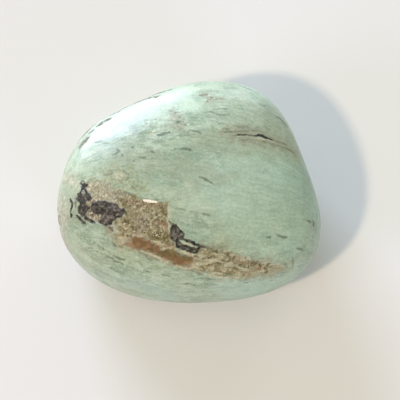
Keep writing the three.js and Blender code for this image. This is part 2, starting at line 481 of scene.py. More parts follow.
# Dark flecks in the golden ground and in the tail of the seam.
FLECKS = (
    *veins("golden field fleck", Mineral.FLECK, ((141, 218.6, 1), (142.7, 221, 1.2)), ((151.5, 203.7, 1),
         (155, 202.8, 0.6)), ((153, 221.5, 1.4), (157.7, 219.5, 1)), ((145.5, 220.5, 0.9),
         (148, 222, 0.9)), ((129.7, 205, 0.7), (130, 208, 0.6)), ((136, 204.5, 0.7), (138.5, 206.5, 0.7))),
    *veins("tail fleck", Mineral.FLECK, ((227.3, 254, 1.7), (228.2, 255.7, 1)), ((226, 257.7, 0.9),
         (223, 260.7, 0.9)), ((233.5, 257.7, 1.5), (234, 261, 1.3)), ((239, 265.5, 0.8),
         (242, 265.7, 0.8)), ((250.3, 262.3, 1.5), (254, 263.4, 2.2), (257.3, 262.2, 1.2)),
         ((250, 265.3, 1), (254.7, 266.3, 1)), ((248.3, 268, 1), (245, 267.5, 0.8)), ((215.5, 250.7, 1.2),
         (217.5, 251.8, 1.2)), ((203, 258.5, 1), (208, 258, 1.2), (214, 256, 1.3)), ((229, 259.5, 1.2),
         (229, 262, 1)), ((224, 264, 0.8), (215, 262.9, 0.8)), ((195.5, 256.3, 1), (199, 258, 0.8))),
    *flecks("golden field fleck", Mineral.FLECK, (139.6, 214, 1.3), (133, 222.5, 1.1), (135.7, 229, 1.5),
         (160.5, 207.2, 0.9), (134.5, 232.7, 1.1), (154.5, 238.6, 1.1), (130.5, 236, 0.9)),
    *flecks("tail fleck", Mineral.FLECK, (236.6, 263.7, 1.3), (260.2, 266.2, 1.5), (266.5, 272.4, 1.9),
         (268.4, 264.5, 1.3), (271.3, 267.2, 0.9), (173, 244, 1.2), (245.5, 258.7, 0.9)),
)

# Thin lines, the fissure with its halo, the stains in the green, and painted shade over it.
LINES = (
    vein("seam crest", Mineral.LINE, (116, 193, 0.7), (124, 192, 1.2), (130, 193.7, 1), (137, 196.4, 0.8),
         (146, 198.7, 0.6), (158, 199.8, 0.4)),
    vein("shore dash", Mineral.LINE, (169.5, 205.2, 0.7), (172.3, 205.8, 0.9)),
    vein("seam ray", Mineral.LINE, (176, 208.2, 0.8), (181, 209, 1), (185, 209.6, 0.6)),
    vein("seam ray right", Mineral.LINE, (190, 211, 0.5), (200, 213.3, 0.7), (208, 215, 0.5)),
    vein("tail hem", Mineral.LINE, (192, 270.7, 0.7), (197, 272.4, 1), (203, 274.7, 0.7)),
    vein("tick", Mineral.LINE, (145, 254.6, 0.7), (148, 258, 1.3), (152, 260.3, 1)),
    vein("amber hem", Mineral.LINE, (140, 252, 0.6), (150, 256.3, 0.7), (159, 259.8, 0.6)),
    vein("amber brow", Mineral.LINE, (175.5, 252.3, 0.8), (182, 255.2, 0.8), (187, 256.2, 0.5)),
    vein("cloud dash", Mineral.LINE, (104, 174.8, 1.1), (108, 174, 1.2), (112, 172.8, 0.8)),
    vein("cloud dash up", Mineral.LINE, (109, 171.2, 0.7), (112, 170.2, 0.8)),
    vein("cloud dusk", Mineral.LINE, (116.2, 170.2, 1), (118.4, 169.4, 1.3), (120.2, 170, 0.9)),
    vein("cloud spot", Mineral.LINE, (123, 171.2, 1.1), (124.6, 172, 1.2), (126.6, 173.4, 0.8),
         (128, 174.6, 0.9)),
    vein("cloud crumb", Mineral.LINE, (132.4, 187.4, 1), (134.6, 187.8, 1.1)),
    vein("cloud crumb right", Mineral.LINE, (137, 186, 1), (138.8, 186.2, 0.9)),
    vein("cloud crumb end", Mineral.LINE, (140.4, 188.8, 0.9), (142.4, 188.4, 1.1), (143.8, 187, 0.7)),
    vein("cloud dash low", Mineral.LINE, (119, 180.7, 0.5), (127.5, 179.5, 0.7)),
    vein("halo dash a", Mineral.LINE, (222, 128.8, 0.6), (229, 129.2, 0.7)),
    vein("halo dash b", Mineral.LINE, (224, 131.9, 0.9), (231, 131.6, 0.7)),
    vein("halo dash c", Mineral.LINE, (233, 125.5, 0.7), (240, 126.2, 1), (247, 127, 1.2)),
    vein("halo dash d", Mineral.LINE, (234, 131.2, 0.6), (249, 131.6, 0.7)),
    vein("halo dash e", Mineral.LINE, (240, 139.6, 0.6), (250, 140, 0.8), (258, 139.8, 0.6)),
    vein("halo dash f", Mineral.LINE, (262, 141.2, 0.8), (270, 143, 0.6), (274.5, 144.2, 0.9)),
    vein("halo dash g", Mineral.LINE, (253, 130.4, 0.6), (260, 131, 0.7), (264.5, 132.2, 0.9)),
    vein("fissure heir", Mineral.LINE, (274, 139.8, 0.5), (281, 142.6, 1.1), (286, 144.8, 0.9)),
    vein("fissure heir low", Mineral.LINE, (277, 145.4, 1.1), (282, 147, 0.9), (287, 149, 0.9),
         (292, 152, 1.2), (295.5, 155.5, 0.8)),
    vein("fissure crumb", Mineral.LINE, (282, 151, 0.8)),
    vein("fissure", Mineral.CRACK, (235, 135.2, 0.4), (239, 134.9, 0.8), (243, 134.8, 1),
         (248, 135.1, 0.6), (252, 135.4, 0.7), (256, 135.6, 0.9), (259.5, 135, 1.5), (262.5, 135.6, 1.8),
         (266, 137.2, 1.4), (269, 138.6, 0.9), (272.3, 139.8, 0.5)),
    vein("halo light", Mineral.CREAM, (255, 138.2, 0.4), (262, 139.2, 0.6), (268, 141.3, 0.5)),
    blot("fissure halo", Mineral.HALO, (221, 128), (232, 124), (246, 125.5), (262, 128.5), (272, 134),
         (286, 140.5), (297, 150), (295, 156), (281, 150.5), (262, 145.5), (246, 143.5), (230, 139.5),
         (221, 134)),
    blot("olive cloud", Mineral.OLIVE, (103, 169), (112, 165), (124, 166.5), (134, 172), (144, 180),
         (148, 188), (140, 194.5), (126, 190.5), (112, 187), (104, 181), (101, 175)),
    vein("olive rim right", Mineral.OLIVE, (288, 147, 2.5), (295, 157, 3)),
    vein("olive left", Mineral.OLIVE, (66, 174, 3.5), (70, 181, 4.5)),
    vein("cream cloud", Mineral.CREAM, (113.6, 174, 1), (118, 174.2, 1.3), (122.8, 175.4, 1.5)),
    vein("cream cloud low", Mineral.CREAM, (116.6, 177, 1.1), (119.4, 179.2, 1.4), (117, 182, 1.3)),
    vein("pale shore", Mineral.PALE, (169, 201.3, 1.4), (178, 203.7, 1.7), (190, 207.5, 1.4)),
    vein("pale pool", Mineral.PALE, (146, 190, 4.5), (158, 193, 6), (166, 194, 4)),
    vein("pale pool right", Mineral.PALE, (187, 186, 4), (196, 194, 7), (203, 202, 6)),
    vein("pale pool far right", Mineral.PALE, (178, 196, 4), (196, 202, 7), (220, 206, 8), (246, 208, 6)),
    # A lighter, bluer green over the right of the face.
    blot("cool right", Mineral.COOL, (212, 156), (236, 152), (262, 152), (288, 154), (302, 170),
         (317, 205), (309, 238), (282, 254), (246, 248), (222, 238), (206, 222), (198, 198), (202, 172)),
    blot("cool low right", Mineral.COOL, (225, 285), (262, 282), (290, 272), (300, 268), (292, 284),
         (262, 296), (225, 299)),
    blot("tail haze", Mineral.HALO, (196, 244), (220, 247), (245, 254), (270, 260), (291, 264), (284, 273),
         (268, 278), (244, 281), (215, 279), (196, 273), (180, 270), (180, 262)),
    # Painted shade: the three dusk blots darken the green where it lies in shade.
    blot("dusk above", Mineral.DUSK, (194, 134), (214, 128), (238, 117), (250, 104), (268, 100),
         (285, 122), (298, 148), (300, 163), (278, 160), (245, 153), (215, 152), (192, 146)),
    blot("dusk middle", Mineral.DUSK, (120, 150), (150, 150), (185, 160), (215, 168), (230, 180),
         (205, 186), (170, 178), (135, 172), (112, 162)),
    blot("dusk left rim", Mineral.DUSK, (57, 196), (70, 190), (76, 205), (74, 226), (66, 236), (57, 220)),
    vein("gold in tail", Mineral.GOLD, (200, 250, 1.5), (208, 253, 2.5)),
    vein("gold in tail mid", Mineral.GOLD, (228, 257, 2), (240, 262, 3), (254, 265, 3), (266, 268, 3.2)),
    vein("gold in tail low", Mineral.GOLD, (202, 267, 1.5), (214, 267, 2), (226, 271, 2), (238, 273, 2)),
)

# Brown edges along the upper rim, the pitted patch under it with painted glints, a painted shadow in the
# hollow, and painted shade nearby.
RIM = (
    vein("brown cusp", Mineral.BROWN, (79.4, 148.4, 1.2), (81.4, 145.2, 2.6), (83.8, 141.8, 3.6),
         (86.4, 139, 3), (88.6, 136.8, 1.2)),
    vein("brown bead", Mineral.BROWN, (89.4, 132.8, 1.4), (91.8, 131, 2.5)),
    vein("brown dash a", Mineral.BROWN, (96.4, 127.2, 1.1), (98.6, 125.4, 2.3), (100.8, 123.4, 2.4),
         (103.4, 121.4, 1.4)),
    vein("brown dash b", Mineral.BROWN, (105, 120.8, 1.4), (107.4, 119.8, 2.8), (109.8, 118.6, 1.7)),
    vein("brown thread", Mineral.BROWN, (110.5, 115.6, 1.3), (113, 114.2, 1.4), (116.6, 112.2, 0.8),
         (120, 110.3, 1.5), (124, 108.2, 1.5), (130, 105.2, 1), (136, 102.6, 1.8), (140, 101, 2),
         (144, 99.4, 1.1)),
    vein("brown thread right", Mineral.BROWN, (145.5, 99, 1.4), (149.5, 97.8, 2.4), (153, 97, 1.5),
         (156, 96.4, 2.2), (158.5, 95.8, 1)),
    vein("brown high spot", Mineral.BROWN, (200.6, 94.6, 0.9), (203.5, 94.7, 1.3), (207, 93.9, 1.1)),
    blot("haze of the high brown", Mineral.HALO, (200, 94), (208, 92.6), (214, 95), (223, 97), (222, 101),
         (212, 102), (204, 101.5)),
    vein("cream high", Mineral.CREAM, (208.6, 95, 0.8), (209.5, 100.5, 0.6)),
    vein("brown high root", Mineral.BROWN, (209.6, 98.6, 0.8), (211.5, 96.8, 1.1)),
    # Painted shade around the green dashes and along the crown.
    blot("dusk around the green dashes", Mineral.DUSK, (211, 113), (216, 107.6), (224, 106), (233, 109),
         (233, 114.8), (224, 118), (214, 117.5)),
    vein("dusk of the crown", Mineral.DUSK, (229, 95, 2.5), (241, 96, 3)),
    vein("green dash high", Mineral.DASH, (213, 109.6, 0.4), (218, 108.4, 0.7), (227, 108.6, 0.5)),
    vein("green dash left", Mineral.DASH, (206, 112.4, 0.5), (211, 112.2, 0.8), (216, 113.4, 0.5)),
    vein("green dash low", Mineral.DASH, (215, 113.4, 0.5), (222, 115.4, 0.8), (229, 113.4, 0.6)),
    vein("brown high b", Mineral.BROWN, (213, 99, 0.7), (222, 98.6, 0.6)),
    vein("brown high c", Mineral.BROWN, (207.3, 101.5, 0.8), (208.5, 100, 0.6)),
    vein("edge dark", Mineral.DASH, (275.5, 116.6, 0.9), (280, 119, 1.6), (283.6, 122.4, 1.9),
         (286.5, 126.4, 1.4)),
    vein("edge brown", Mineral.DASH, (259.6, 104, 0.6), (262.4, 106, 1.2), (265.4, 105.6, 0.8)),
    vein("edge spot", Mineral.DASH, (307.4, 220.2, 1), (309, 221.8, 1.6), (310.6, 222.2, 1.3)),
    vein("edge spot right", Mineral.DASH, (312.6, 221.6, 1.2), (313.6, 224.6, 1.8)),
    # Painted shade around the edge spot.
    vein("haze of the edge spot", Mineral.DUSK, (307, 219, 2.2), (310, 222, 3), (313, 227, 2.4)),
    blot("pitted patch", Mineral.HALO, (169, 111), (176, 109.5), (182, 113), (188, 119), (189, 125),
         (184, 128), (174, 128), (168, 123)),
    # Painted shadow in the hollow.
    vein("hollow", Mineral.DASH, (158, 135, 1.3), (163, 134.2, 1.9), (169, 132, 1.2)),
    blot("pitted ground", Mineral.PITTED, (169, 111), (176, 109.5), (182, 113), (188, 119), (189, 125),
         (184, 128), (174, 128), (168, 123)),
    blot("pitted ground by the light", Mineral.PITTED, (144, 122), (152, 118.5), (160, 121), (160, 127),
         (152, 129.5), (145, 128)),
    # Painted shade below the highlight.
    vein("dusk under the light", Mineral.DUSK, (98, 151.4, 2), (104, 153, 2.8), (111, 154.6, 2.2)),
    blot("pitted hollow", Mineral.PITTED, (150, 131), (160, 129), (172, 129), (170, 137), (158, 138),
         (150, 136)),
    vein("pit fleck", Mineral.DASH, (177, 122.6, 1.4), (180, 122.2, 1.7), (183, 121.4, 1.3)),
    # Painted highlight on the hollow's lit rim.
    vein("painted pit glint", Mineral.CREAM, (156, 131, 1), (153.6, 132.6, 1.3), (153, 135, 1)),
    *flecks("pit fleck", Mineral.DASH, (175.3, 112.4, 1), (171, 111.3, 0.8), (183.4, 118.5, 0.6),
         (177, 126.6, 0.8), (185, 124.7, 0.9), (180, 117.5, 0.7), (172.5, 118.5, 0.6), (146, 123.5, 0.7),
         (149.7, 125.7, 0.7), (152.3, 123.3, 0.7), (154.5, 126, 0.8), (156.5, 122.7, 0.6),
         (151.7, 121, 0.5)),
    # Painted glints in the pits.
    *flecks("painted pit glint", Mineral.CREAM, (175, 125.6, 1.1), (179, 124.9, 0.9), (182.4, 122.6, 1.1),
         (174.6, 118.8, 1.3), (171.5, 116.5, 1), (178.6, 113.6, 0.9), (147.5, 126.8, 0.7),
         (152.5, 125.7, 0.6), (157.5, 130.7, 0.7), (131.2, 134, 1.2)),
)

# Short green dashes that follow the fibres.
DASHES = (
    vein("beige rim", Mineral.HALO, (58.5, 196, 1.2), (60, 209, 1.6), (64, 228, 1.3)),
    *veins("dash", Mineral.DASH, ((94.3, 142, 0.9), (99, 142.2, 1.2), (103.5, 140.7, 0.8)),
         ((104, 143.2, 0.7), (108, 143.3, 0.6)), ((113, 155, 0.9), (116, 153.7, 1.3), (118.5, 151, 1.4),
         (116.5, 149.3, 0.9)), ((140, 157.3, 0.8), (144.5, 158.2, 0.8)), ((150, 151, 0.8),
         (153.5, 152.5, 0.8)), ((189, 130.2, 0.9), (193.5, 130.2, 1.3), (197, 131, 1.2),
         (200.4, 132.6, 1)), ((181.5, 148.6, 1), (186, 149, 1.7), (190.4, 150, 1.2)), ((276.6, 234.6, 0.6),
         (280.6, 236, 1.1), (284.5, 237, 1.5), (287.4, 237, 0.8)), ((266.4, 237.2, 0.6), (270, 237, 0.9)),
         ((113.3, 255.2, 0.8), (117, 257.4, 1.1), (120, 258.8, 1.1), (124, 259.6, 0.6)),
         ((105.5, 256.3, 0.7), (112.5, 258.7, 0.8)), ((113, 260.3, 0.6), (121, 263.3, 0.7),
         (127, 267, 0.5)), ((110, 268, 0.7), (114, 270, 0.8), (118, 272.5, 1.2)), ((112.7, 243.7, 0.9),
         (115.7, 245.7, 1.1)), ((94, 242.5, 0.6), (104, 249, 0.7)), ((88, 248.3, 0.7), (92, 248.5, 0.6)),
         ((184.5, 284, 0.9), (190, 284.2, 0.9), (194.5, 285.7, 1)), ((143, 270, 0.5), (150, 272, 0.7)),
         ((200, 278.5, 0.6), (214, 280, 0.7)), ((205, 283.7, 0.5), (216, 284.5, 0.6)), ((162, 274.5, 0.6),
         (171, 276.3, 0.6)), ((244, 282.5, 1), (247, 283, 0.8)), ((297, 248.5, 0.8), (302, 250, 0.8)),
         ((292.5, 257.3, 0.6), (292.7, 263.5, 0.9)), ((298, 266.5, 0.8), (300, 265.7, 0.7)),
         ((200, 176.5, 0.9), (204, 178.5, 1.2), (208, 181, 1.1), (213, 183.3, 0.7)), ((285.4, 263.6, 0.8),
         (287.2, 267.4, 0.7))),
    *flecks("dash", Mineral.DASH, (122, 154.7, 1.3), (132.7, 147, 1.1), (133.5, 160.3, 0.9), (175, 149, 1),
         (168.5, 144.5, 0.7), (97.7, 252, 1.1), (62.5, 196.5, 1.3), (73, 175.6, 0.8)),
)

# The seam's course over the ends and the back, painted shade low on the back, and what lies on the belly.
BACK_MARKS = on(
    Side.BACK,
    blot("haze of the back seam", Mineral.HALO, (14.0, 1.0), (9.0, 0.8), (4.0, -0.4), (-1.0, -2.2),
         (-6.0, -3.6), (-5.6, -5.2), (-0.6, -5.0), (4.4, -4.4), (9.4, -3.2), (13.8, -1.4)),
    vein("seam over the back", Mineral.TAIL, (13.4, -0.1, 0.4), (10.4, -0.4, 0.8), (7.0, -1.3, 0.95),
         (3.6, -2.5, 0.8), (0.4, -3.4, 0.45), (-3.2, -4.1, 0.2)),
    vein("ore in the back seam", Mineral.ORE, (9.3, -0.7, 0.16), (8.2, -0.9, 0.34), (7.1, -1.5, 0.28),
         (6.4, -1.7, 0.1)),
    vein("ore low in the back seam", Mineral.ORE, (5.6, -2.2, 0.1), (4.7, -2.4, 0.2), (3.9, -2.8, 0.1)),
    vein("brown band under the shoulder", Mineral.BROWN, (13.4, 1.3, 0.2), (12.2, 1.6, 0.36),
         (10.6, 1.4, 0.3), (8.8, 1.7, 0.2), (7.0, 1.9, 0.34), (5.2, 1.7, 0.2), (3.2, 1.8, 0.24),
         (1.8, 1.6, 0.08)),
    vein("bed of the brown band", Mineral.TAIL, (13.2, 0.9, 0.3), (11.4, 1.0, 0.5), (9.0, 1.2, 0.45),
         (6.4, 1.3, 0.5), (4.0, 1.3, 0.3)),
    vein("brown thread of the back", Mineral.BROWN, (3.4, -0.4, 0.2), (1.4, -1.2, 0.3),
         (-0.4, -1.6, 0.12)),
    vein("rust of the back seam", Mineral.RUST, (6.8, -0.9, 0.3), (5.0, -1.8, 0.4), (3.6, -2.4, 0.2)),
    vein("cream hem of the back seam", Mineral.CREAM, (11.4, -1.3, 0.1), (8.2, -2.2, 0.15),
         (4.6, -3.3, 0.13), (1.4, -4.1, 0.08)),
    vein("line under the back seam", Mineral.LINE, (9.0, -2.9, 0.06), (6.0, -3.8, 0.11),
         (3.0, -4.6, 0.06)),
    vein("line low on the back", Mineral.LINE, (2.2, -4.2, 0.06), (-0.6, -4.7, 0.1), (-3.0, -5.0, 0.05)),
    blot("olive cloud of the back", Mineral.OLIVE, (-7.0, -0.4), (-3.4, 0.4), (-0.8, -0.4), (-2.2, -2.0),
         (-6.4, -2.2)),
    blot("cool of the back", Mineral.COOL, (-13.0, 0.6), (-8.0, 2.0), (-5.6, -1.0), (-7.6, -5.6),
         (-12.0, -5.0)),
    # Painted shade low on the back.
    blot("dusk low on the back", Mineral.DUSK, (12.4, -2.2), (6.6, -3.4), (1.4, -5.0), (4.2, -7.0),
         (11.2, -6.2)),
    vein("dash high on the back", Mineral.DASH, (-8.6, 0.7, 0.07), (-7.3, 0.5, 0.13), (-6.0, 0.4, 0.06)),
    vein("dash by the back seam", Mineral.DASH, (-1.0, -0.7, 0.06), (-2.1, -0.9, 0.1), (-3.1, -0.9, 0.06)),
    vein("dash low on the back", Mineral.DASH, (-4.6, -3.9, 0.07), (-5.9, -4.2, 0.12), (-7.0, -4.2, 0.06)),
)

LEFT_MARKS = on(
    Side.LEFT,
    blot("bed of the seam's left end", Mineral.BLEACH, (1.6, 0.2), (5.0, 0.8), (8.0, -0.6), (7.6, -4.0),
         (5.8, -6.4), (3.2, -7.0), (1.4, -4.2)),
    vein("ore streak of the left end", Mineral.ORE, (3.2, -0.7, 0.12), (3.6, -2.1, 0.24), (3.4, -3.8, 0.2),
         (3.8, -4.8, 0.06)),
    vein("second ore streak of the left end", Mineral.ORE, (5.4, -1.6, 0.07), (5.9, -3.0, 0.2),
         (5.6, -4.4, 0.08)),
    vein("buff of the left end", Mineral.BUFF, (4.6, 0.0, 0.3), (4.8, -2.0, 0.5), (4.6, -4.2, 0.35),
         (4.4, -5.6, 0.15)),
    vein("dash of the left end", Mineral.DASH, (-3.4, -1.2, 0.06), (-3.0, -2.2, 0.1), (-2.8, -3.2, 0.06)),
)

RIGHT_MARKS = on(
    Side.RIGHT,
    blot("haze of the seam's right end", Mineral.HALO, (-8.8, -3.0), (-6.0, -2.8), (-3.0, -4.0),
         (-1.4, -5.8), (-4.0, -6.4), (-8.0, -5.4)),
    vein("seam's right end", Mineral.TAIL, (-8.4, -3.8, 0.15), (-6.8, -4.0, 0.4), (-4.8, -4.7, 0.4),
         (-2.6, -5.6, 0.15)),
    vein("flecks of the right end", Mineral.FLECK, (-7.4, -3.9, 0.08), (-6.2, -4.2, 0.16),
         (-5.0, -4.6, 0.08)),
    vein("halo below the fissure", Mineral.HALO, (3.0, 2.4, 0.6), (2.0, 0.6, 0.55), (1.4, -1.4, 0.3)),
    vein("fissure's last thread", Mineral.LINE, (2.8, 2.1, 0.08), (2.1, 0.4, 0.11), (1.7, -1.2, 0.05)),
    vein("dash of the right end", Mineral.DASH, (-3.4, 0.2, 0.06), (-2.2, -0.3, 0.12), (-1.2, -0.4, 0.06)),
)

BELLY_MARKS = on(
    Side.BELLY,
    blot("worn pale of the belly", Mineral.PALE, (-6.0, -3.4), (0.4, -5.0), (6.4, -2.4), (5.4, 3.0),
         (-0.8, 4.6), (-6.4, 2.0)),
    blot("beige veil of the belly", Mineral.HALO, (-10.4, -1.6), (-4.4, -2.8), (1.6, -1.4), (4.0, 0.8),
         (-1.4, 1.6), (-7.6, 1.2)),
    vein("line of the belly", Mineral.LINE, (-7.8, -0.4, 0.06), (-4.4, -0.8, 0.13), (-1.0, -0.2, 0.1),
         (2.4, 0.4, 0.05)),
    vein("cream of the belly", Mineral.CREAM, (-5.2, 0.3, 0.08), (-2.4, 0.4, 0.15), (0.2, 0.8, 0.06)),
    vein("flecks of the belly", Mineral.FLECK, (3.8, 2.6, 0.1), (4.8, 2.2, 0.18), (5.4, 1.8, 0.08)),
)

AROUND = BACK_MARKS + LEFT_MARKS + RIGHT_MARKS + BELLY_MARKS


# ---------------------------------------------------------------------------------------------
# The skin and its marks
# ---------------------------------------------------------------------------------------------

def flowing(points: np.ndarray, steps: int, closed: bool) -> np.ndarray:
    """A smooth (Catmull-Rom) line through points.

    Args:
        points: One row for each point, of any numbers.
        steps: How many pieces each stretch between two points gets.
        closed: Whether the line comes back to its first point.

    Returns:
        The line's points as rows; a closed line doesn't repeat its first one.
    """
    if len(points) < 2:
        return points
    if closed:
        padded = np.concatenate((points[-1:], points, points[:2]))
    else:
        padded = np.concatenate((2 * points[:1] - points[1:2], points, 2 * points[-1:] - points[-2:-1]))
    before, start, end, after = padded[:-3], padded[1:-2], padded[2:-1], padded[3:]
    line = []
    for share in np.arange(steps) / steps:
        line.append(0.5 * (2 * start + (end - before) * share
                           + (2 * before - 5 * start + 4 * end - after) * share ** 2
                           + (3 * start - before - 3 * end + after) * share ** 3))
    smooth = np.stack(line, axis=1).reshape(-1, points.shape[1])
    return smooth if closed else np.concatenate((smooth, points[-1:]))


@dataclass
class Survey:
    """Measures how deep each vertex of the skin lies inside each mineral's marks.

    Attributes:
        places: The vertices, in millimetres.
        normals: Their unit normals.
        ground: The skin's surface, which veins are laid on.
    """

    places: np.ndarray
    normals: np.ndarray
    ground: BVHTree
    blot_steps: int = 3
    vein_steps: int = 4
    reach: float = 40.0

    def depths(self, marks: tuple[Mark, ...]) -> dict[Mineral, np.ndarray]:
        """Measures every mineral.

        Args:
            marks: All the marks.

        Returns:
            For each mineral, one depth for each vertex: above 0 inside, in millimetres.
        """
        deep = {mineral: np.full(len(self.places), -FAR) for mineral in Mineral}
        for mark in marks:
            measure = self._blot if mark.closed else self._vein
            measure(mark, deep[mark.mineral])
        return deep

    def _blot(self, mark: Mark, deep: np.ndarray) -> None:
        """Deepens a mineral by one outline, on the vertices that face its chart.

        Args:
            mark: The outline.
            deep: The mineral's depths, which change.
        """
        right, up, outward = mark.side.axes()
        outline = flowing(np.array(mark.points), self.blot_steps, True)
        from_centre = self.places - CHART_CENTRE
        flat = np.stack((from_centre @ right, from_centre @ up), axis=1)
        low, high = outline.min(axis=0) - FAR, outline.max(axis=0) + FAR
        near = np.flatnonzero((self.normals @ outward > 0) & (flat > low).all(1) & (flat < high).all(1))
        spots = flat[near]
        gap = np.full(len(near), FAR)
        inside = np.zeros(len(near), bool)
        for start, end in zip(outline, np.roll(outline, -1, axis=0)):
            run = end - start
            share = np.clip((spots - start) @ run / (run @ run), 0, 1)
            gap = np.minimum(gap, np.linalg.norm(spots - start - share[:, None] * run, axis=1))
            spans = (spots[:, 1] < start[1]) != (spots[:, 1] < end[1])
            rise = run[1] if run[1] else 1.0
            crossing = start[0] + (spots[:, 1] - start[1]) / rise * run[0]
            inside ^= spans & (spots[:, 0] < crossing)
        deep[near] = np.maximum(deep[near], np.where(inside, gap, -gap))

    def _vein(self, mark: Mark, deep: np.ndarray) -> None:
        """Deepens a mineral by one route, laid on the surface below its chart.

        Args:
            mark: The route.
            deep: The mineral's depths, which change.
        """
        right, up, outward = mark.side.axes()
        route = []
        for along, above, half_width in flowing(np.array(mark.points), self.vein_steps, False):
            start = np.array(CHART_CENTRE) + right * along + up * above + outward * self.reach
            hit = self.ground.ray_cast(Vector(start), Vector(-outward))[0]
            if hit is not None:
                route.append((*hit, half_width))
        if not route:
            LOG.warning("%s lies off the stone", mark.name)
            return
        route = np.array(route if len(route) > 1 else route * 2)
        low, high = route[:, :3].min(axis=0) - FAR, route[:, :3].max(axis=0) + FAR
        near = np.flatnonzero((self.places > low).all(1) & (self.places < high).all(1))
        spots = self.places[near]
        found = deep[near]
        for start, end in zip(route[:-1], route[1:]):
            run = end[:3] - start[:3]
            share = np.clip((spots - start[:3]) @ run / max(run @ run, 1e-9), 0, 1)
            gap = np.linalg.norm(spots - start[:3] - share[:, None] * run, axis=1)
            found = np.maximum(found, start[3] + share * (end[3] - start[3]) - gap)
        deep[near] = found


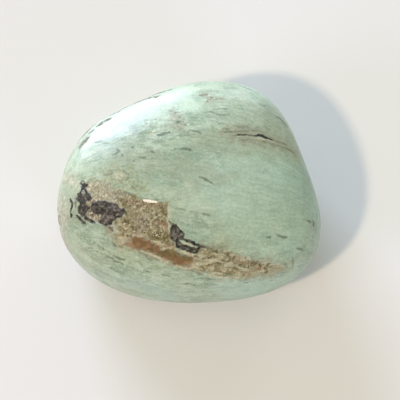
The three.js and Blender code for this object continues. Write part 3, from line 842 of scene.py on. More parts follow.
@dataclass
class StoneBody:
    """The pebble's skin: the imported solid's surface, made finer and smooth.

    Attributes:
        node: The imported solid.
        marks: What is marked on it.
        smoothing_rounds: How often the whole surface is evened out.
        smoothing_steps: How far a vertex moves to its neighbours' middle, and back from it.
        refining: How near a mark each halving of the faces reaches, in millimetres.
        refined_rounds: How often the surface is evened out after each halving.
        fibre_axis: A point on the axis that the fibres run along, in millimetres.
        fibre_turn: The axis's direction from +X, in degrees.
        fibre_half_length: Half the distance between the tips where the fibres meet.
        fibre_gather: How fully they meet there, from 0 to 1.
        fibre_tip: The least that is left of their squared spread at the tips.
    """

    node: bpy.types.Object
    marks: tuple[Mark, ...]
    smoothing_rounds: int = 10
    smoothing_steps: tuple[float, float] = (0.5, -0.52)
    refining: tuple[float, ...] = (0.45, 0.2)
    refined_rounds: int = 5
    fibre_axis: Triple = (0.1, -4.75, 8.0)
    fibre_turn: float = -5.0
    fibre_half_length: float = 16.4
    fibre_gather: float = 0.75
    fibre_tip: float = 0.03

    def build(self) -> bpy.types.Object:
        """Makes the fine smooth skin, with each mineral's depth and the fibres' course on it.

        Returns:
            The skin's object, at the origin.
        """
        mesh = self._even_mesh()
        for reach in self.refining:
            self._refine(mesh, reach)
            self._smooth(mesh, self.refined_rounds)
        for mineral, deep in self._survey(mesh).depths(self.marks).items():
            mesh.attributes.new(mineral.value, "FLOAT", "POINT").data.foreach_set("value", deep)
        flow = mesh.attributes.new(FLOW, "FLOAT_VECTOR", "POINT")
        flow.data.foreach_set("vector", self._fibre_course(mesh).ravel())
        mesh.shade_smooth()
        skin = bpy.data.objects.new("stone_skin", mesh)
        bpy.context.scene.collection.objects.link(skin)
        return skin

    def _even_mesh(self) -> bpy.types.Mesh:
        """A merged copy of the node's mesh, subdivided once and evened out.

        Returns:
            The new mesh.
        """
        mesh = self.node.data.copy()
        mesh.materials.clear()
        merged = bmesh.new()
        merged.from_mesh(mesh)
        bmesh.ops.remove_doubles(merged, verts=merged.verts, dist=1e-6)
        merged.to_mesh(mesh)
        merged.free()
        rough = bpy.data.objects.new("rough_skin", mesh)
        bpy.context.scene.collection.objects.link(rough)
        finer = rough.modifiers.new("finer", "SUBSURF")
        finer.levels = finer.render_levels = 1
        graph = bpy.context.evaluated_depsgraph_get()
        even = bpy.data.meshes.new_from_object(rough.evaluated_get(graph))
        bpy.data.objects.remove(rough)
        even.name = "stone_skin"
        self._smooth(even, self.smoothing_rounds)
        return even

    def _survey(self, mesh: bpy.types.Mesh) -> Survey:
        """A survey of a mesh as it now stands.

        Args:
            mesh: The mesh.

        Returns:
            The survey.
        """
        places, normals = (np.empty(len(mesh.vertices) * 3) for _ in range(2))
        mesh.vertices.foreach_get("co", places)
        mesh.vertices.foreach_get("normal", normals)
        return Survey(places.reshape(-1, 3) / MM, normals.reshape(-1, 3), ground_of(mesh))

    def _refine(self, mesh: bpy.types.Mesh, reach: float) -> None:
        """Halves the faces' edges near the marks that a coarse skin can't carry.

        Args:
            mesh: The mesh, which changes.
            reach: How near a mark counts, in millimetres.
        """
        crisp = tuple(mark for mark in self.marks if not mark.mineral.is_broad())
        deepest = np.max(list(self._survey(mesh).depths(crisp).values()), axis=0)
        wanted = deepest > -reach
        finer = bmesh.new()
        finer.from_mesh(mesh)
        finer.verts.ensure_lookup_table()
        edges = [edge for edge in finer.edges if all(wanted[vert.index] for vert in edge.verts)]
        bmesh.ops.subdivide_edges(finer, edges=edges, cuts=1, use_grid_fill=True)
        finer.to_mesh(mesh)
        finer.free()

    def _smooth(self, mesh: bpy.types.Mesh, rounds: int) -> None:
        """Evens out a mesh without shrinking it (Taubin's two-step smoothing).

        Args:
            mesh: The mesh, which changes.
            rounds: How often both steps are taken.
        """
        count = len(mesh.vertices)
        edges = np.empty(len(mesh.edges) * 2, np.int32)
        mesh.edges.foreach_get("vertices", edges)
        first, second = edges.reshape(-1, 2).T
        places = np.empty(count * 3)
        mesh.vertices.foreach_get("co", places)
        places = places.reshape(-1, 3)
        valence = np.bincount(edges, minlength=count)[:, None]
        for step in self.smoothing_steps * rounds:
            total = np.zeros_like(places)
            for axis in range(3):
                total[:, axis] += np.bincount(first, places[second, axis], count)
                total[:, axis] += np.bincount(second, places[first, axis], count)
            places += step * (total / valence - places)
        places[:, 2] = np.maximum(places[:, 2], 0.0)
        mesh.vertices.foreach_set("co", places.ravel())
        mesh.update()

    def _fibre_course(self, mesh: bpy.types.Mesh) -> np.ndarray:
        """For each vertex, how far along the fibres it lies and which fibre it is on.

        The first number runs along the stone and the other two stay the same along one fibre,
        all in millimetres, so a pattern that is long in the first follows the fibres.

        Args:
            mesh: The mesh.

        Returns:
            Three numbers for each vertex, as rows.
        """
        places = np.empty(len(mesh.vertices) * 3)
        mesh.vertices.foreach_get("co", places)
        from_axis = places.reshape(-1, 3) / MM - self.fibre_axis
        turn = math.radians(self.fibre_turn)
        along = from_axis[:, 0] * math.cos(turn) + from_axis[:, 1] * math.sin(turn)
        across = from_axis[:, 1] * math.cos(turn) - from_axis[:, 0] * math.sin(turn)
        spread = np.sqrt(np.maximum(1 - (along / self.fibre_half_length) ** 2, self.fibre_tip))
        gathered = spread ** self.fibre_gather
        return np.stack((along, across / gathered, from_axis[:, 2] / gathered), axis=1)


# ---------------------------------------------------------------------------------------------
# Nodes
# ---------------------------------------------------------------------------------------------

@dataclass(frozen=True)
class Bench:
    """Adds nodes to one tree and joins them.

    Attributes:
        tree: The tree being made.
    """

    tree: bpy.types.NodeTree

    def add(self, kind: str, fed: dict[str | int, Fed] | None = None, **settings: object) -> bpy.types.Node:
        """Adds a node.

        Args:
            kind: The node's type name.
            fed: What its inputs get, by name or number: a socket or a value.
            settings: The node's own properties.

        Returns:
            The node.
        """
        node = self.tree.nodes.new(kind)
        for name, setting in settings.items():
            setattr(node, name, setting)
        for name, value in (fed or {}).items():
            self.feed(node.inputs[name], value)
        return node

    def feed(self, socket: Socket, value: Fed) -> None:
        """Links a socket to an input, or sets the input's own value.

        Args:
            socket: The input.
            value: A socket or a value.
        """
        if isinstance(value, bpy.types.NodeSocket):
            self.tree.links.new(value, socket)
        else:
            socket.default_value = value

    def math(self, operation: str, first: Fed, second: Fed = 0.0, third: Fed = 0.0) -> Socket:
        """A sum, product or other number made from up to three."""
        node = self.add("ShaderNodeMath", {0: first, 1: second, 2: third}, operation=operation)
        return node.outputs[0]

    def vector_math(self, operation: str, first: Fed, second: Fed) -> Socket:
        """A vector made from two."""
        return self.add("ShaderNodeVectorMath", {0: first, 1: second}, operation=operation).outputs[0]

    def scaled(self, vector: Fed, scale: Fed) -> Socket:
        """A vector times a number."""
        node = self.add("ShaderNodeVectorMath", {0: vector, "Scale": scale}, operation="SCALE")
        return node.outputs[0]

    def remap(self, value: Fed, low: Fed, high: Fed, to_low: Fed = 0.0, to_high: Fed = 1.0) -> Socket:
        """A number eased from one range to another and held at its ends."""
        fed = {"Value": value, "From Min": low, "From Max": high, "To Min": to_low, "To Max": to_high}
        return self.add("ShaderNodeMapRange", fed, interpolation_type="SMOOTHSTEP").outputs[0]

    def blend(self, share: Fed, below: Fed, above: Fed, kind: str = "MIX") -> Socket:
        """One colour laid over another.

        Args:
            share: How much of the upper one shows.
            below: The lower colour.
            above: The upper colour.
            kind: How they mix.

        Returns:
            The colour.
        """
        node = self.add("ShaderNodeMix", data_type="RGBA", blend_type=kind, clamp_factor=True)
        self.feed(node.inputs[0], share)
        self.feed(node.inputs[6], below)
        self.feed(node.inputs[7], above)
        return node.outputs[2]

    def between(self, share: Fed, first: Fed, second: Fed) -> Socket:
        """A number between two others."""
        return self.add("ShaderNodeMix", {0: share, 2: first, 3: second}, data_type="FLOAT").outputs[0]

    def noise(self, place: Fed, size: Fed, seed: float, detail: float = 2.0) -> Socket:
        """Soft noise about 0.5, with lumps of a given size in the place's own units.

        Args:
            place: Where it is read.
            size: The size of its lumps.
            seed: What sets it apart from other noise.
            detail: How many finer layers it has.

        Returns:
            The noise.
        """
        scale = self.math("DIVIDE", 1.0, size) if isinstance(size, bpy.types.NodeSocket) else 1.0 / size
        fed = {"Vector": place, "W": seed, "Scale": scale, "Detail": detail}
        return self.add("ShaderNodeTexNoise", fed, noise_dimensions="4D").outputs[0]

    def ramp(self, share: Fed, tones: tuple[Colour, ...]) -> Socket:
        """A colour from evenly spaced tones.

        Args:
            share: How far along the tones, from 0 to 1.
            tones: The tones.

        Returns:
            The colour.
        """
        node = self.add("ShaderNodeValToRGB", {0: share})
        stops = node.color_ramp.elements
        for number, tone in enumerate(tones):
            stop = stops[number] if number < len(stops) else stops.new(1.0)
            stop.position = number / (len(tones) - 1)
            stop.color = tone
        return node.outputs[0]

    def centred(self, noise: Socket) -> Socket:
        """Noise about 0 instead of 0.5."""
        return self.math("SUBTRACT", noise, 0.5)

    def swayed(self, place: Fed, scale: Fed, reach: Fed) -> Socket:
        """A place moved about by soft noise.

        Args:
            place: The place.
            scale: The noise's scale, one over the size of its lumps.
            reach: The most that it moves.

        Returns:
            The moved place.
        """
        noise = self.add("ShaderNodeTexNoise", {"Vector": place, "Scale": scale}).outputs["Color"]
        sway = self.scaled(self.vector_math("SUBTRACT", noise, NOISE_MIDDLE), reach)
        return self.vector_math("ADD", place, sway)

    def group(self, tree: bpy.types.NodeTree, fed: dict[str, Fed]) -> bpy.types.NodeOutputs:
        """What a shared node group gives out."""
        return self.add("ShaderNodeGroup", fed, node_tree=tree).outputs

    def attribute(self, name: str) -> bpy.types.Node:
        """An attribute of the surface."""
        return self.add("ShaderNodeAttribute", attribute_name=name, attribute_type="GEOMETRY")


@dataclass(frozen=True)
class Effect:
    """A shader node group that materials share.

    Attributes:
        bench: The group's own tree.
        entry: The sockets that come in, by name.
    """

    bench: Bench
    entry: bpy.types.NodeOutputs

    @classmethod
    def started(cls, name: str, inputs: dict[str, float | None]) -> "Effect":
        """Starts a group.

        Args:
            name: The group's name.
            inputs: Its inputs: a number for each value, None for each vector.

        Returns:
            The effect, still without outputs.
        """
        tree = bpy.data.node_groups.new(name, "ShaderNodeTree")
        for label, value in inputs.items():
            kind = "NodeSocketVector" if value is None else "NodeSocketFloat"
            socket = tree.interface.new_socket(label, in_out="INPUT", socket_type=kind)
            if value is not None:
                socket.default_value = value
        return cls(Bench(tree), tree.nodes.new("NodeGroupInput").outputs)

    def finished(self, **outputs: Socket) -> bpy.types.NodeTree:
        """Gives the group its outputs, each a number, and returns its tree.

        Args:
            outputs: What each output gets, by its name.

        Returns:
            The group's tree.
        """
        for label in outputs:
            self.bench.tree.interface.new_socket(label, in_out="OUTPUT", socket_type="NodeSocketFloat")
        leave = self.bench.tree.nodes.new("NodeGroupOutput")
        for label, socket in outputs.items():
            self.bench.feed(leave.inputs[label], socket)
        return self.bench.tree


@dataclass(frozen=True)
class Effects:
    """The node groups for ragged edges, crumbs and fibres."""

    FRAY_SEED: ClassVar[float] = 3.7
    FRAY_DETAIL: ClassVar[float] = 4.0
    FRAY_GAIN: ClassVar[float] = 7.0
    FIBRE_SWAY: ClassVar[float] = 1.4
    FIBRE_SWAY_SCALE: ClassVar[float] = 0.45
    FIBRE_DETAIL: ClassVar[float] = 3.0

    frayed_edge: bpy.types.NodeTree
    crumbs: bpy.types.NodeTree
    fibres: bpy.types.NodeTree

    @classmethod
    def made(cls) -> "Effects":
        """Makes the three groups."""
        return cls(cls._frayed_edge(), cls._crumbs(), cls._fibres())

    @classmethod
    def _frayed_edge(cls) -> bpy.types.NodeTree:
        """A mask from a depth inside a mark, with a ragged edge.

        Returns:
            The group.
        """
        inputs = {"Place": None, "Depth": -1.0, "Fray": 0.1, "Fray Size": 0.5, "Softness": 0.05}
        effect = Effect.started("frayed_edge", inputs)
        bench, entry = effect.bench, effect.entry
        lumps = bench.noise(entry["Place"], entry["Fray Size"], cls.FRAY_SEED, cls.FRAY_DETAIL)
        fray = bench.math("MULTIPLY", bench.centred(lumps), entry["Fray"])
        depth = bench.math("MULTIPLY_ADD", fray, cls.FRAY_GAIN, entry["Depth"])
        shallow = bench.math("MULTIPLY", entry["Softness"], -1.0)
        return effect.finished(Mask=bench.remap(depth, shallow, entry["Softness"]))

    @staticmethod
    def _crumbs() -> bpy.types.NodeTree:
        """A tone for each crumb of a packed ground, and how near its edge is.

        Returns:
            The group.
        """
        effect = Effect.started("crumbs", {"Place": None, "Size": 0.35, "Blur": 0.2})
        bench, entry = effect.bench, effect.entry
        scale = bench.math("DIVIDE", 1.0, entry["Size"])
        fed = {"Vector": bench.swayed(entry["Place"], scale, entry["Size"]), "Scale": scale,
               "Smoothness": entry["Blur"]}
        cells = bench.add("ShaderNodeTexVoronoi", fed, feature="SMOOTH_F1")
        tone = bench.add("ShaderNodeSeparateColor", {0: cells.outputs["Color"]}).outputs[0]
        return effect.finished(Tone=tone, Rim=cells.outputs["Distance"])

    @classmethod
    def _fibres(cls) -> bpy.types.NodeTree:
        """Soft noise drawn out along the fibres' course.

        Returns:
            The group.
        """
        effect = Effect.started("fibres", {"Course": None, "Length": 4.0, "Width": 0.4, "Seed": 0.0})
        bench, entry = effect.bench, effect.entry
        thin = bench.math("DIVIDE", 1.0, entry["Width"])
        long = bench.math("DIVIDE", 1.0, entry["Length"])
        drawn = bench.add("ShaderNodeCombineXYZ", {0: long, 1: thin, 2: thin}).outputs[0]
        swayed = bench.swayed(entry["Course"], cls.FIBRE_SWAY_SCALE, cls.FIBRE_SWAY)
        place = bench.vector_math("MULTIPLY", swayed, drawn)
        fed = {"Vector": place, "W": entry["Seed"], "Scale": 1.0, "Detail": cls.FIBRE_DETAIL}
        tone = bench.add("ShaderNodeTexNoise", fed, noise_dimensions="4D").outputs[0]
        return effect.finished(Tone=tone)


# ---------------------------------------------------------------------------------------------
# Relief and crumbs, by Geometry Nodes
# ---------------------------------------------------------------------------------------------

@dataclass(frozen=True)
class Recipe:
    """A Geometry Nodes tree with named inputs.

    Attributes:
        bench: The tree's bench.
        entry: The sockets that come in, by name.
    """

    bench: Bench
    entry: bpy.types.NodeOutputs

    @classmethod
    def started(cls, name: str, inputs: dict[str, float | int | bpy.types.Material]) -> "Recipe":
        """Starts a tree that takes a geometry and named inputs.

        Args:
            name: The tree's name.
            inputs: Its other inputs and what they get if nothing else is set.

        Returns:
            The recipe, still without its result.
        """
        kinds = {float: "NodeSocketFloat", int: "NodeSocketInt", bpy.types.Material: "NodeSocketMaterial"}
        tree = bpy.data.node_groups.new(name, "GeometryNodeTree")
        tree.interface.new_socket("Geometry", in_out="INPUT", socket_type="NodeSocketGeometry")
        tree.interface.new_socket("Geometry", in_out="OUTPUT", socket_type="NodeSocketGeometry")
        for label, value in inputs.items():
            tree.interface.new_socket(label, in_out="INPUT", socket_type=kinds[type(value)])
        return cls(Bench(tree), tree.nodes.new("NodeGroupInput").outputs)

    def part(self, kind: str, fed: dict[str | int, Fed] | None = None, out: str | int = 0,
             **settings: object) -> Socket:
        """One output of a node that is added."""
        return self.bench.add(kind, fed, **settings).outputs[out]

    def attribute(self, name: str) -> Socket:
        """A number that the surface carries."""
        return self.part("GeometryNodeInputNamedAttribute", {"Name": name}, data_type="FLOAT")

    def typed(self, kind: str, data_type: str, fed: dict[str, Fed], **settings: object) -> Socket:
        """The output of a node whose sockets change with its data type.

        Args:
            kind: The node's type name.
            data_type: Its data type.
            fed: What its inputs get, by name.
            settings: The node's own properties.

        Returns:
            Its output of that type.
        """
        node = self.bench.add(kind, data_type=data_type, **settings)
        for name, value in fed.items():
            socket = next(socket for socket in node.inputs if socket.name == name and socket.enabled)
            self.bench.feed(socket, value)
        return next(socket for socket in node.outputs if socket.enabled)

    def place(self) -> Socket:
        """The place on the stone, in millimetres."""
        return self.bench.scaled(self.part("GeometryNodeInputPosition"), 1 / MM)

    def finished(self, geometry: Socket) -> None:
        """Ends the tree with real, dressed geometry.

        Args:
            geometry: What the tree has made.
        """
        real = self.part("GeometryNodeRealizeInstances", {0: geometry})
        dressed = self.part("GeometryNodeSetMaterial", {"Geometry": real, "Material": self.entry["Material"]})
        leave = self.bench.tree.nodes.new("NodeGroupOutput")
        self.bench.feed(leave.inputs[0], dressed)

    def cooked(self, ground: bpy.types.Object, name: str, values: dict[str, object]) -> bpy.types.Object:
        """Runs the tree on an object.

        Args:
            ground: The object whose mesh goes in; it stays as it is.
            name: The new object's name.
            values: What the named inputs get.

        Returns:
            A new object at the origin, with the result as a plain mesh.
        """
        modifier = ground.modifiers.new(name, "NODES")
        modifier.node_group = self.bench.tree
        for item in self.bench.tree.interface.items_tree:
            if item.in_out == "INPUT" and item.name in values:
                modifier[item.identifier] = values[item.name]
        graph = bpy.context.evaluated_depsgraph_get()
        mesh = bpy.data.meshes.new_from_object(ground.evaluated_get(graph))
        ground.modifiers.remove(modifier)
        mesh.name = name
        made = bpy.data.objects.new(name, mesh)
        bpy.context.scene.collection.objects.link(made)
        return made


@dataclass(frozen=True)
class WornRelief:
    """The low relief that tumbling left: soft waves, the seam's hollow, the fissure and pits.

    Sizes are in millimetres, and pits in pieces for each square millimetre.
    """

    wave_height: float = 0.07
    wave_size: float = 4.2
    wave_seed: float = 1.7
    rib_height: float = 0.03
    rib_size: float = 1.1
    rib_stretch: float = 0.3
    rib_seed: float = 5.2
    seam_recess: float = 0.12
    seam_edge: float = -0.04
    seam_slope: float = 0.16
    ore_rise: float = 0.05
    ore_range: tuple[float, float] = (-0.05, 0.2)
    fissure_depth: float = 0.045
    fissure_range: tuple[float, float] = (-0.12, 0.08)
    base_range: tuple[float, float] = (0.2, 1.0)
    pit_depth: float = 0.028
    pit_least: float = 0.1
    pit_most: float = 0.3
    pits_all_over: float = 0.06
    pits_in_patch: float = 2.6
    pit_floor: float = 0.2
    patch_range: tuple[float, float] = (-0.3, 0.3)
    seed: int = 7

    def carve(self, skin: bpy.types.Object, material: bpy.types.Material) -> bpy.types.Object:
        """Gives a skin its relief.

        Args:
            skin: The smooth skin, which is taken away.
            material: What the carved skin is dressed in.

        Returns:
            The carved skin.
        """
        sizes = {"Wave Height": self.wave_height, "Wave Size": self.wave_size, "Rib Height": self.rib_height,
                 "Seam Recess": self.seam_recess, "Seam Slope": self.seam_slope, "Ore Rise": self.ore_rise,
                 "Fissure Depth": self.fissure_depth, "Pit Depth": self.pit_depth,
                 "Pit Least": self.pit_least, "Pit Most": self.pit_most,
                 "Pits All Over": self.pits_all_over, "Pits in Patch": self.pits_in_patch,
                 "Seed": self.seed}
        recipe = Recipe.started("worn_relief", sizes | {"Material": material})
        height = recipe.bench.math("ADD", self._waves(recipe), self._hollows(recipe))
        height = recipe.bench.math("ADD", height, self._pits(recipe))
        above_base = recipe.part("ShaderNodeSeparateXYZ", {0: recipe.place()}, "Z")
        height = recipe.bench.math("MULTIPLY", height, recipe.bench.remap(above_base, *self.base_range))
        offset = recipe.bench.scaled(recipe.part("GeometryNodeInputNormal"),
                                     recipe.bench.math("MULTIPLY", height, MM))
        recipe.finished(recipe.part("GeometryNodeSetPosition",
                                    {"Geometry": recipe.entry["Geometry"], "Offset": offset}))
        name = skin.name
        skin.name = "smooth_skin"
        carved = recipe.cooked(skin, name, sizes | {"Material": material})
        bpy.data.objects.remove(skin)
        return carved

    def _waves(self, recipe: Recipe) -> Socket:
        """Soft waves, and low ribs along the fibres.

        Args:
            recipe: The tree.

        Returns:
            The height, in millimetres.
        """
        bench, entry = recipe.bench, recipe.entry
        waves = bench.noise(recipe.place(), entry["Wave Size"], self.wave_seed, 1.0)
        course = recipe.part("GeometryNodeInputNamedAttribute", {"Name": FLOW}, data_type="FLOAT_VECTOR")
        drawn = bench.vector_math("MULTIPLY", course, (self.rib_stretch, 1.0, 1.0))
        ribs = bench.noise(drawn, self.rib_size, self.rib_seed, 1.0)
        waves = bench.math("MULTIPLY", bench.centred(waves), entry["Wave Height"])
        ribs = bench.math("MULTIPLY", bench.centred(ribs), entry["Rib Height"])
        return bench.math("MULTIPLY", bench.math("ADD", waves, ribs), 2.0)

    def _hollows(self, recipe: Recipe) -> Socket:
        """The seam's worn hollow, in which the ore stands higher, and the fissure.

        Args:
            recipe: The tree.

        Returns:
            The height, in millimetres.
        """
        bench, entry = recipe.bench, recipe.entry
        ground = recipe.attribute(Mineral.GOLD.value)
        for mineral in (Mineral.TAIL, Mineral.BUFF, Mineral.AMBER, Mineral.ORE):
            ground = bench.math("MAXIMUM", ground, recipe.attribute(mineral.value))
        seam = bench.remap(ground, self.seam_edge, entry["Seam Slope"], 0.0, entry["Seam Recess"])
        ore = bench.remap(recipe.attribute(Mineral.ORE.value), *self.ore_range, 0.0, entry["Ore Rise"])
        crack = recipe.attribute(Mineral.CRACK.value)
        fissure = bench.remap(crack, *self.fissure_range, 0.0, entry["Fissure Depth"])
        return bench.math("SUBTRACT", bench.math("SUBTRACT", ore, seam), fissure)

    def _pits(self, recipe: Recipe) -> Socket:
        """Small round pits, scattered thinly all over and thickly in the pitted patch.

        Args:
            recipe: The tree.

        Returns:
            The height, in millimetres.
        """
        bench, entry = recipe.bench, recipe.entry
        pitted = recipe.attribute(Mineral.PITTED.value)
        patch = bench.remap(pitted, *self.patch_range, 0.0, entry["Pits in Patch"])
        for_each_metre = bench.math("MULTIPLY", bench.math("ADD", patch, entry["Pits All Over"]), 1 / MM ** 2)
        pits = bench.add("GeometryNodeDistributePointsOnFaces",
                         {"Mesh": entry["Geometry"], "Density": for_each_metre, "Seed": entry["Seed"]},
                         distribute_method="RANDOM").outputs["Points"]
        size = recipe.typed("FunctionNodeRandomValue", "FLOAT",
                            {"Min": entry["Pit Least"], "Max": entry["Pit Most"], "Seed": entry["Seed"]})
        sized = recipe.part("GeometryNodeStoreNamedAttribute",
                            {"Geometry": pits, "Name": PIT_SIZE, "Value": size},
                            data_type="FLOAT", domain="POINT")
        nearest = recipe.part("GeometryNodeSampleNearest", {"Geometry": sized}, domain="POINT")
        here = recipe.part("GeometryNodeInputPosition")
        middle = self._sampled(recipe, sized, here, nearest, "FLOAT_VECTOR")
        across = self._sampled(recipe, sized, recipe.attribute(PIT_SIZE), nearest, "FLOAT")
        away = bench.vector_math("SUBTRACT", recipe.part("GeometryNodeInputPosition"), middle)
        away = bench.scaled(away, 1 / MM)
        gap = bench.add("ShaderNodeVectorMath", {0: away}, operation="LENGTH").outputs["Value"]
        share = bench.math("DIVIDE", gap, across)
        return bench.remap(share, 1.0, self.pit_floor, 0.0, bench.math("MULTIPLY", entry["Pit Depth"], -1.0))

    def _sampled(self, recipe: Recipe, source: Socket, value: Socket, index: Socket, kind: str) -> Socket:
        """A value read from one point of another geometry."""
        fed = {"Geometry": source, "Index": index, "Value": value}
        return recipe.typed("GeometryNodeSampleIndex", kind, fed, domain="POINT")


@dataclass(frozen=True)
class SeamCrumbs:
    """The crumbs that stand out of the seam's golden and buff ground.

    Sizes are in millimetres, and the most crumbs in pieces for each square millimetre.
    """

    spacing: float = 0.26
    least: float = 0.06
    most: float = 0.19
    flatness: float = 0.5
    depth_inside: float = 0.12
    most_crumbs: float = 30.0
    turn: Triple = (0.3, 0.3, math.tau)
    shortest: float = 0.8
    longest: float = 1.5
    buff_margin: float = 0.35
    buff_paleness: float = 0.6
    buff_range: tuple[float, float] = (-0.2, 0.6)
    gold_range: tuple[float, float] = (-0.3, 0.3)
    patch_size: float = 0.5
    patch_seed: float = 8.4
    patch_range: tuple[float, float] = (0.3, 0.7)
    patchiness: float = 0.6
    seed: int = 11

    def scatter(self, skin: bpy.types.Object, material: bpy.types.Material) -> bpy.types.Object:
        """Lays crumbs on the seam.

        Args:
            skin: The carved skin.
            material: What the crumbs are dressed in.

        Returns:
            All the crumbs as one object.
        """
        sizes = {"Spacing": self.spacing * MM, "Least": self.least, "Most": self.most,
                 "Flatness": self.flatness, "Depth Inside": self.depth_inside, "Seed": self.seed}
        recipe = Recipe.started("seam_crumbs", sizes | {"Material": material})
        bench, entry = recipe.bench, recipe.entry
        buff = bench.math("SUBTRACT", recipe.attribute(Mineral.BUFF.value), self.buff_margin)
        ground = bench.math("MAXIMUM", recipe.attribute(Mineral.GOLD.value), buff)
        for mineral in (Mineral.ORE, Mineral.AMBER, Mineral.GLINT):
            outside = bench.math("MULTIPLY", recipe.attribute(mineral.value), -1.0)
            ground = bench.math("MINIMUM", ground, outside)
        share = bench.remap(ground, 0.0, entry["Depth Inside"])
        spots = bench.add("GeometryNodeDistributePointsOnFaces",
                          {"Mesh": entry["Geometry"], "Distance Min": entry["Spacing"],
                           "Density Max": self.most_crumbs / MM ** 2, "Density Factor": share,
                           "Seed": entry["Seed"]},
                          distribute_method="POISSON")
        crumb = recipe.part("GeometryNodeMeshCube", {"Size": (2 * MM, 2 * MM, 2 * MM)})
        crumb = recipe.part("GeometryNodeSubdivisionSurface", {"Mesh": crumb, "Level": 1})
        laid = recipe.part("GeometryNodeInstanceOnPoints",
                           {"Points": spots.outputs["Points"], "Instance": crumb,
                            "Rotation": spots.outputs["Rotation"]})
        spin = self._random(recipe, 3, (0.0, 0.0, 0.0), self.turn, "FLOAT_VECTOR")
        turned = recipe.part("GeometryNodeRotateInstances", {"Instances": laid, "Rotation": spin})
        wide = self._random(recipe, 1, entry["Least"], entry["Most"], "FLOAT")
        longer = bench.math("MULTIPLY", wide, self._random(recipe, 2, self.shortest, self.longest, "FLOAT"))
        low = bench.math("MULTIPLY", wide, entry["Flatness"])
        sized = recipe.part("GeometryNodeScaleInstances",
                            {"Instances": turned, "Scale": recipe.part("ShaderNodeCombineXYZ",
                                                                       {0: longer, 1: wide, 2: low})})
        toned = recipe.part("GeometryNodeStoreNamedAttribute",
                            {"Geometry": sized, "Name": GRAIN_TONE, "Value": self._tone(recipe)},
                            data_type="FLOAT", domain="INSTANCE")
        recipe.finished(toned)
        return recipe.cooked(skin, "seam_crumbs", sizes | {"Material": material})

    def _tone(self, recipe: Recipe) -> Socket:
        """A tone for each crumb: any in the gold, only pale ones in the buff ground.

        Args:
            recipe: The tree.

        Returns:
            The tone, from 0 to 1.
        """
        pale = recipe.bench.remap(recipe.attribute(Mineral.BUFF.value), *self.buff_range)
        gold = recipe.bench.remap(recipe.attribute(Mineral.GOLD.value), *self.gold_range)
        pale = recipe.bench.math("MULTIPLY", pale, recipe.bench.math("SUBTRACT", 1.0, gold))
        least = recipe.bench.math("MULTIPLY", pale, self.buff_paleness)
        noise = recipe.bench.noise(recipe.place(), self.patch_size, self.patch_seed)
        patches = recipe.bench.remap(noise, *self.patch_range, least, 1.0)
        own = self._random(recipe, 4, least, 1.0, "FLOAT")
        return recipe.bench.between(self.patchiness, own, patches)

    def _random(self, recipe: Recipe, offset: int, low: Fed, high: Fed, kind: str) -> Socket:
        """A random value for each crumb, from the recipe's seed."""
        seed = recipe.bench.math("ADD", recipe.entry["Seed"], float(offset))
        return recipe.typed("FunctionNodeRandomValue", kind, {"Min": low, "Max": high, "Seed": seed})


# ---------------------------------------------------------------------------------------------
# Finishes
# ---------------------------------------------------------------------------------------------

class Texture(Enum):
    """How the tones of a mineral lie in it."""

    CRUMBS = "crumbs"
    CLOUDS = "clouds"
    FIBRES = "fibres"


@dataclass(frozen=True)
class Layer:
    """One mineral as it shows on the skin.

    Attributes:
        mineral: Which one.
        tones: Its colours, from the darkest crumbs or clouds to the palest.
        texture: How the tones lie.
        grain: The size of its crumbs or clouds, in millimetres.
        cover: How fully it hides what lies below.
        fray: How far its edge wanders, in millimetres.
        fray_size: The size of that wandering, in millimetres.
        softness: Half the width of the edge's blur, in millimetres.
        roughness: The roughness of its surface.
        relief: How high its crumbs stand, in millimetres.
    """

    mineral: Mineral
    tones: tuple[Colour, ...]
    texture: Texture
    grain: float
    cover: float
    fray: float
    fray_size: float
    softness: float
    roughness: float = 0.42
    relief: float = 0.0


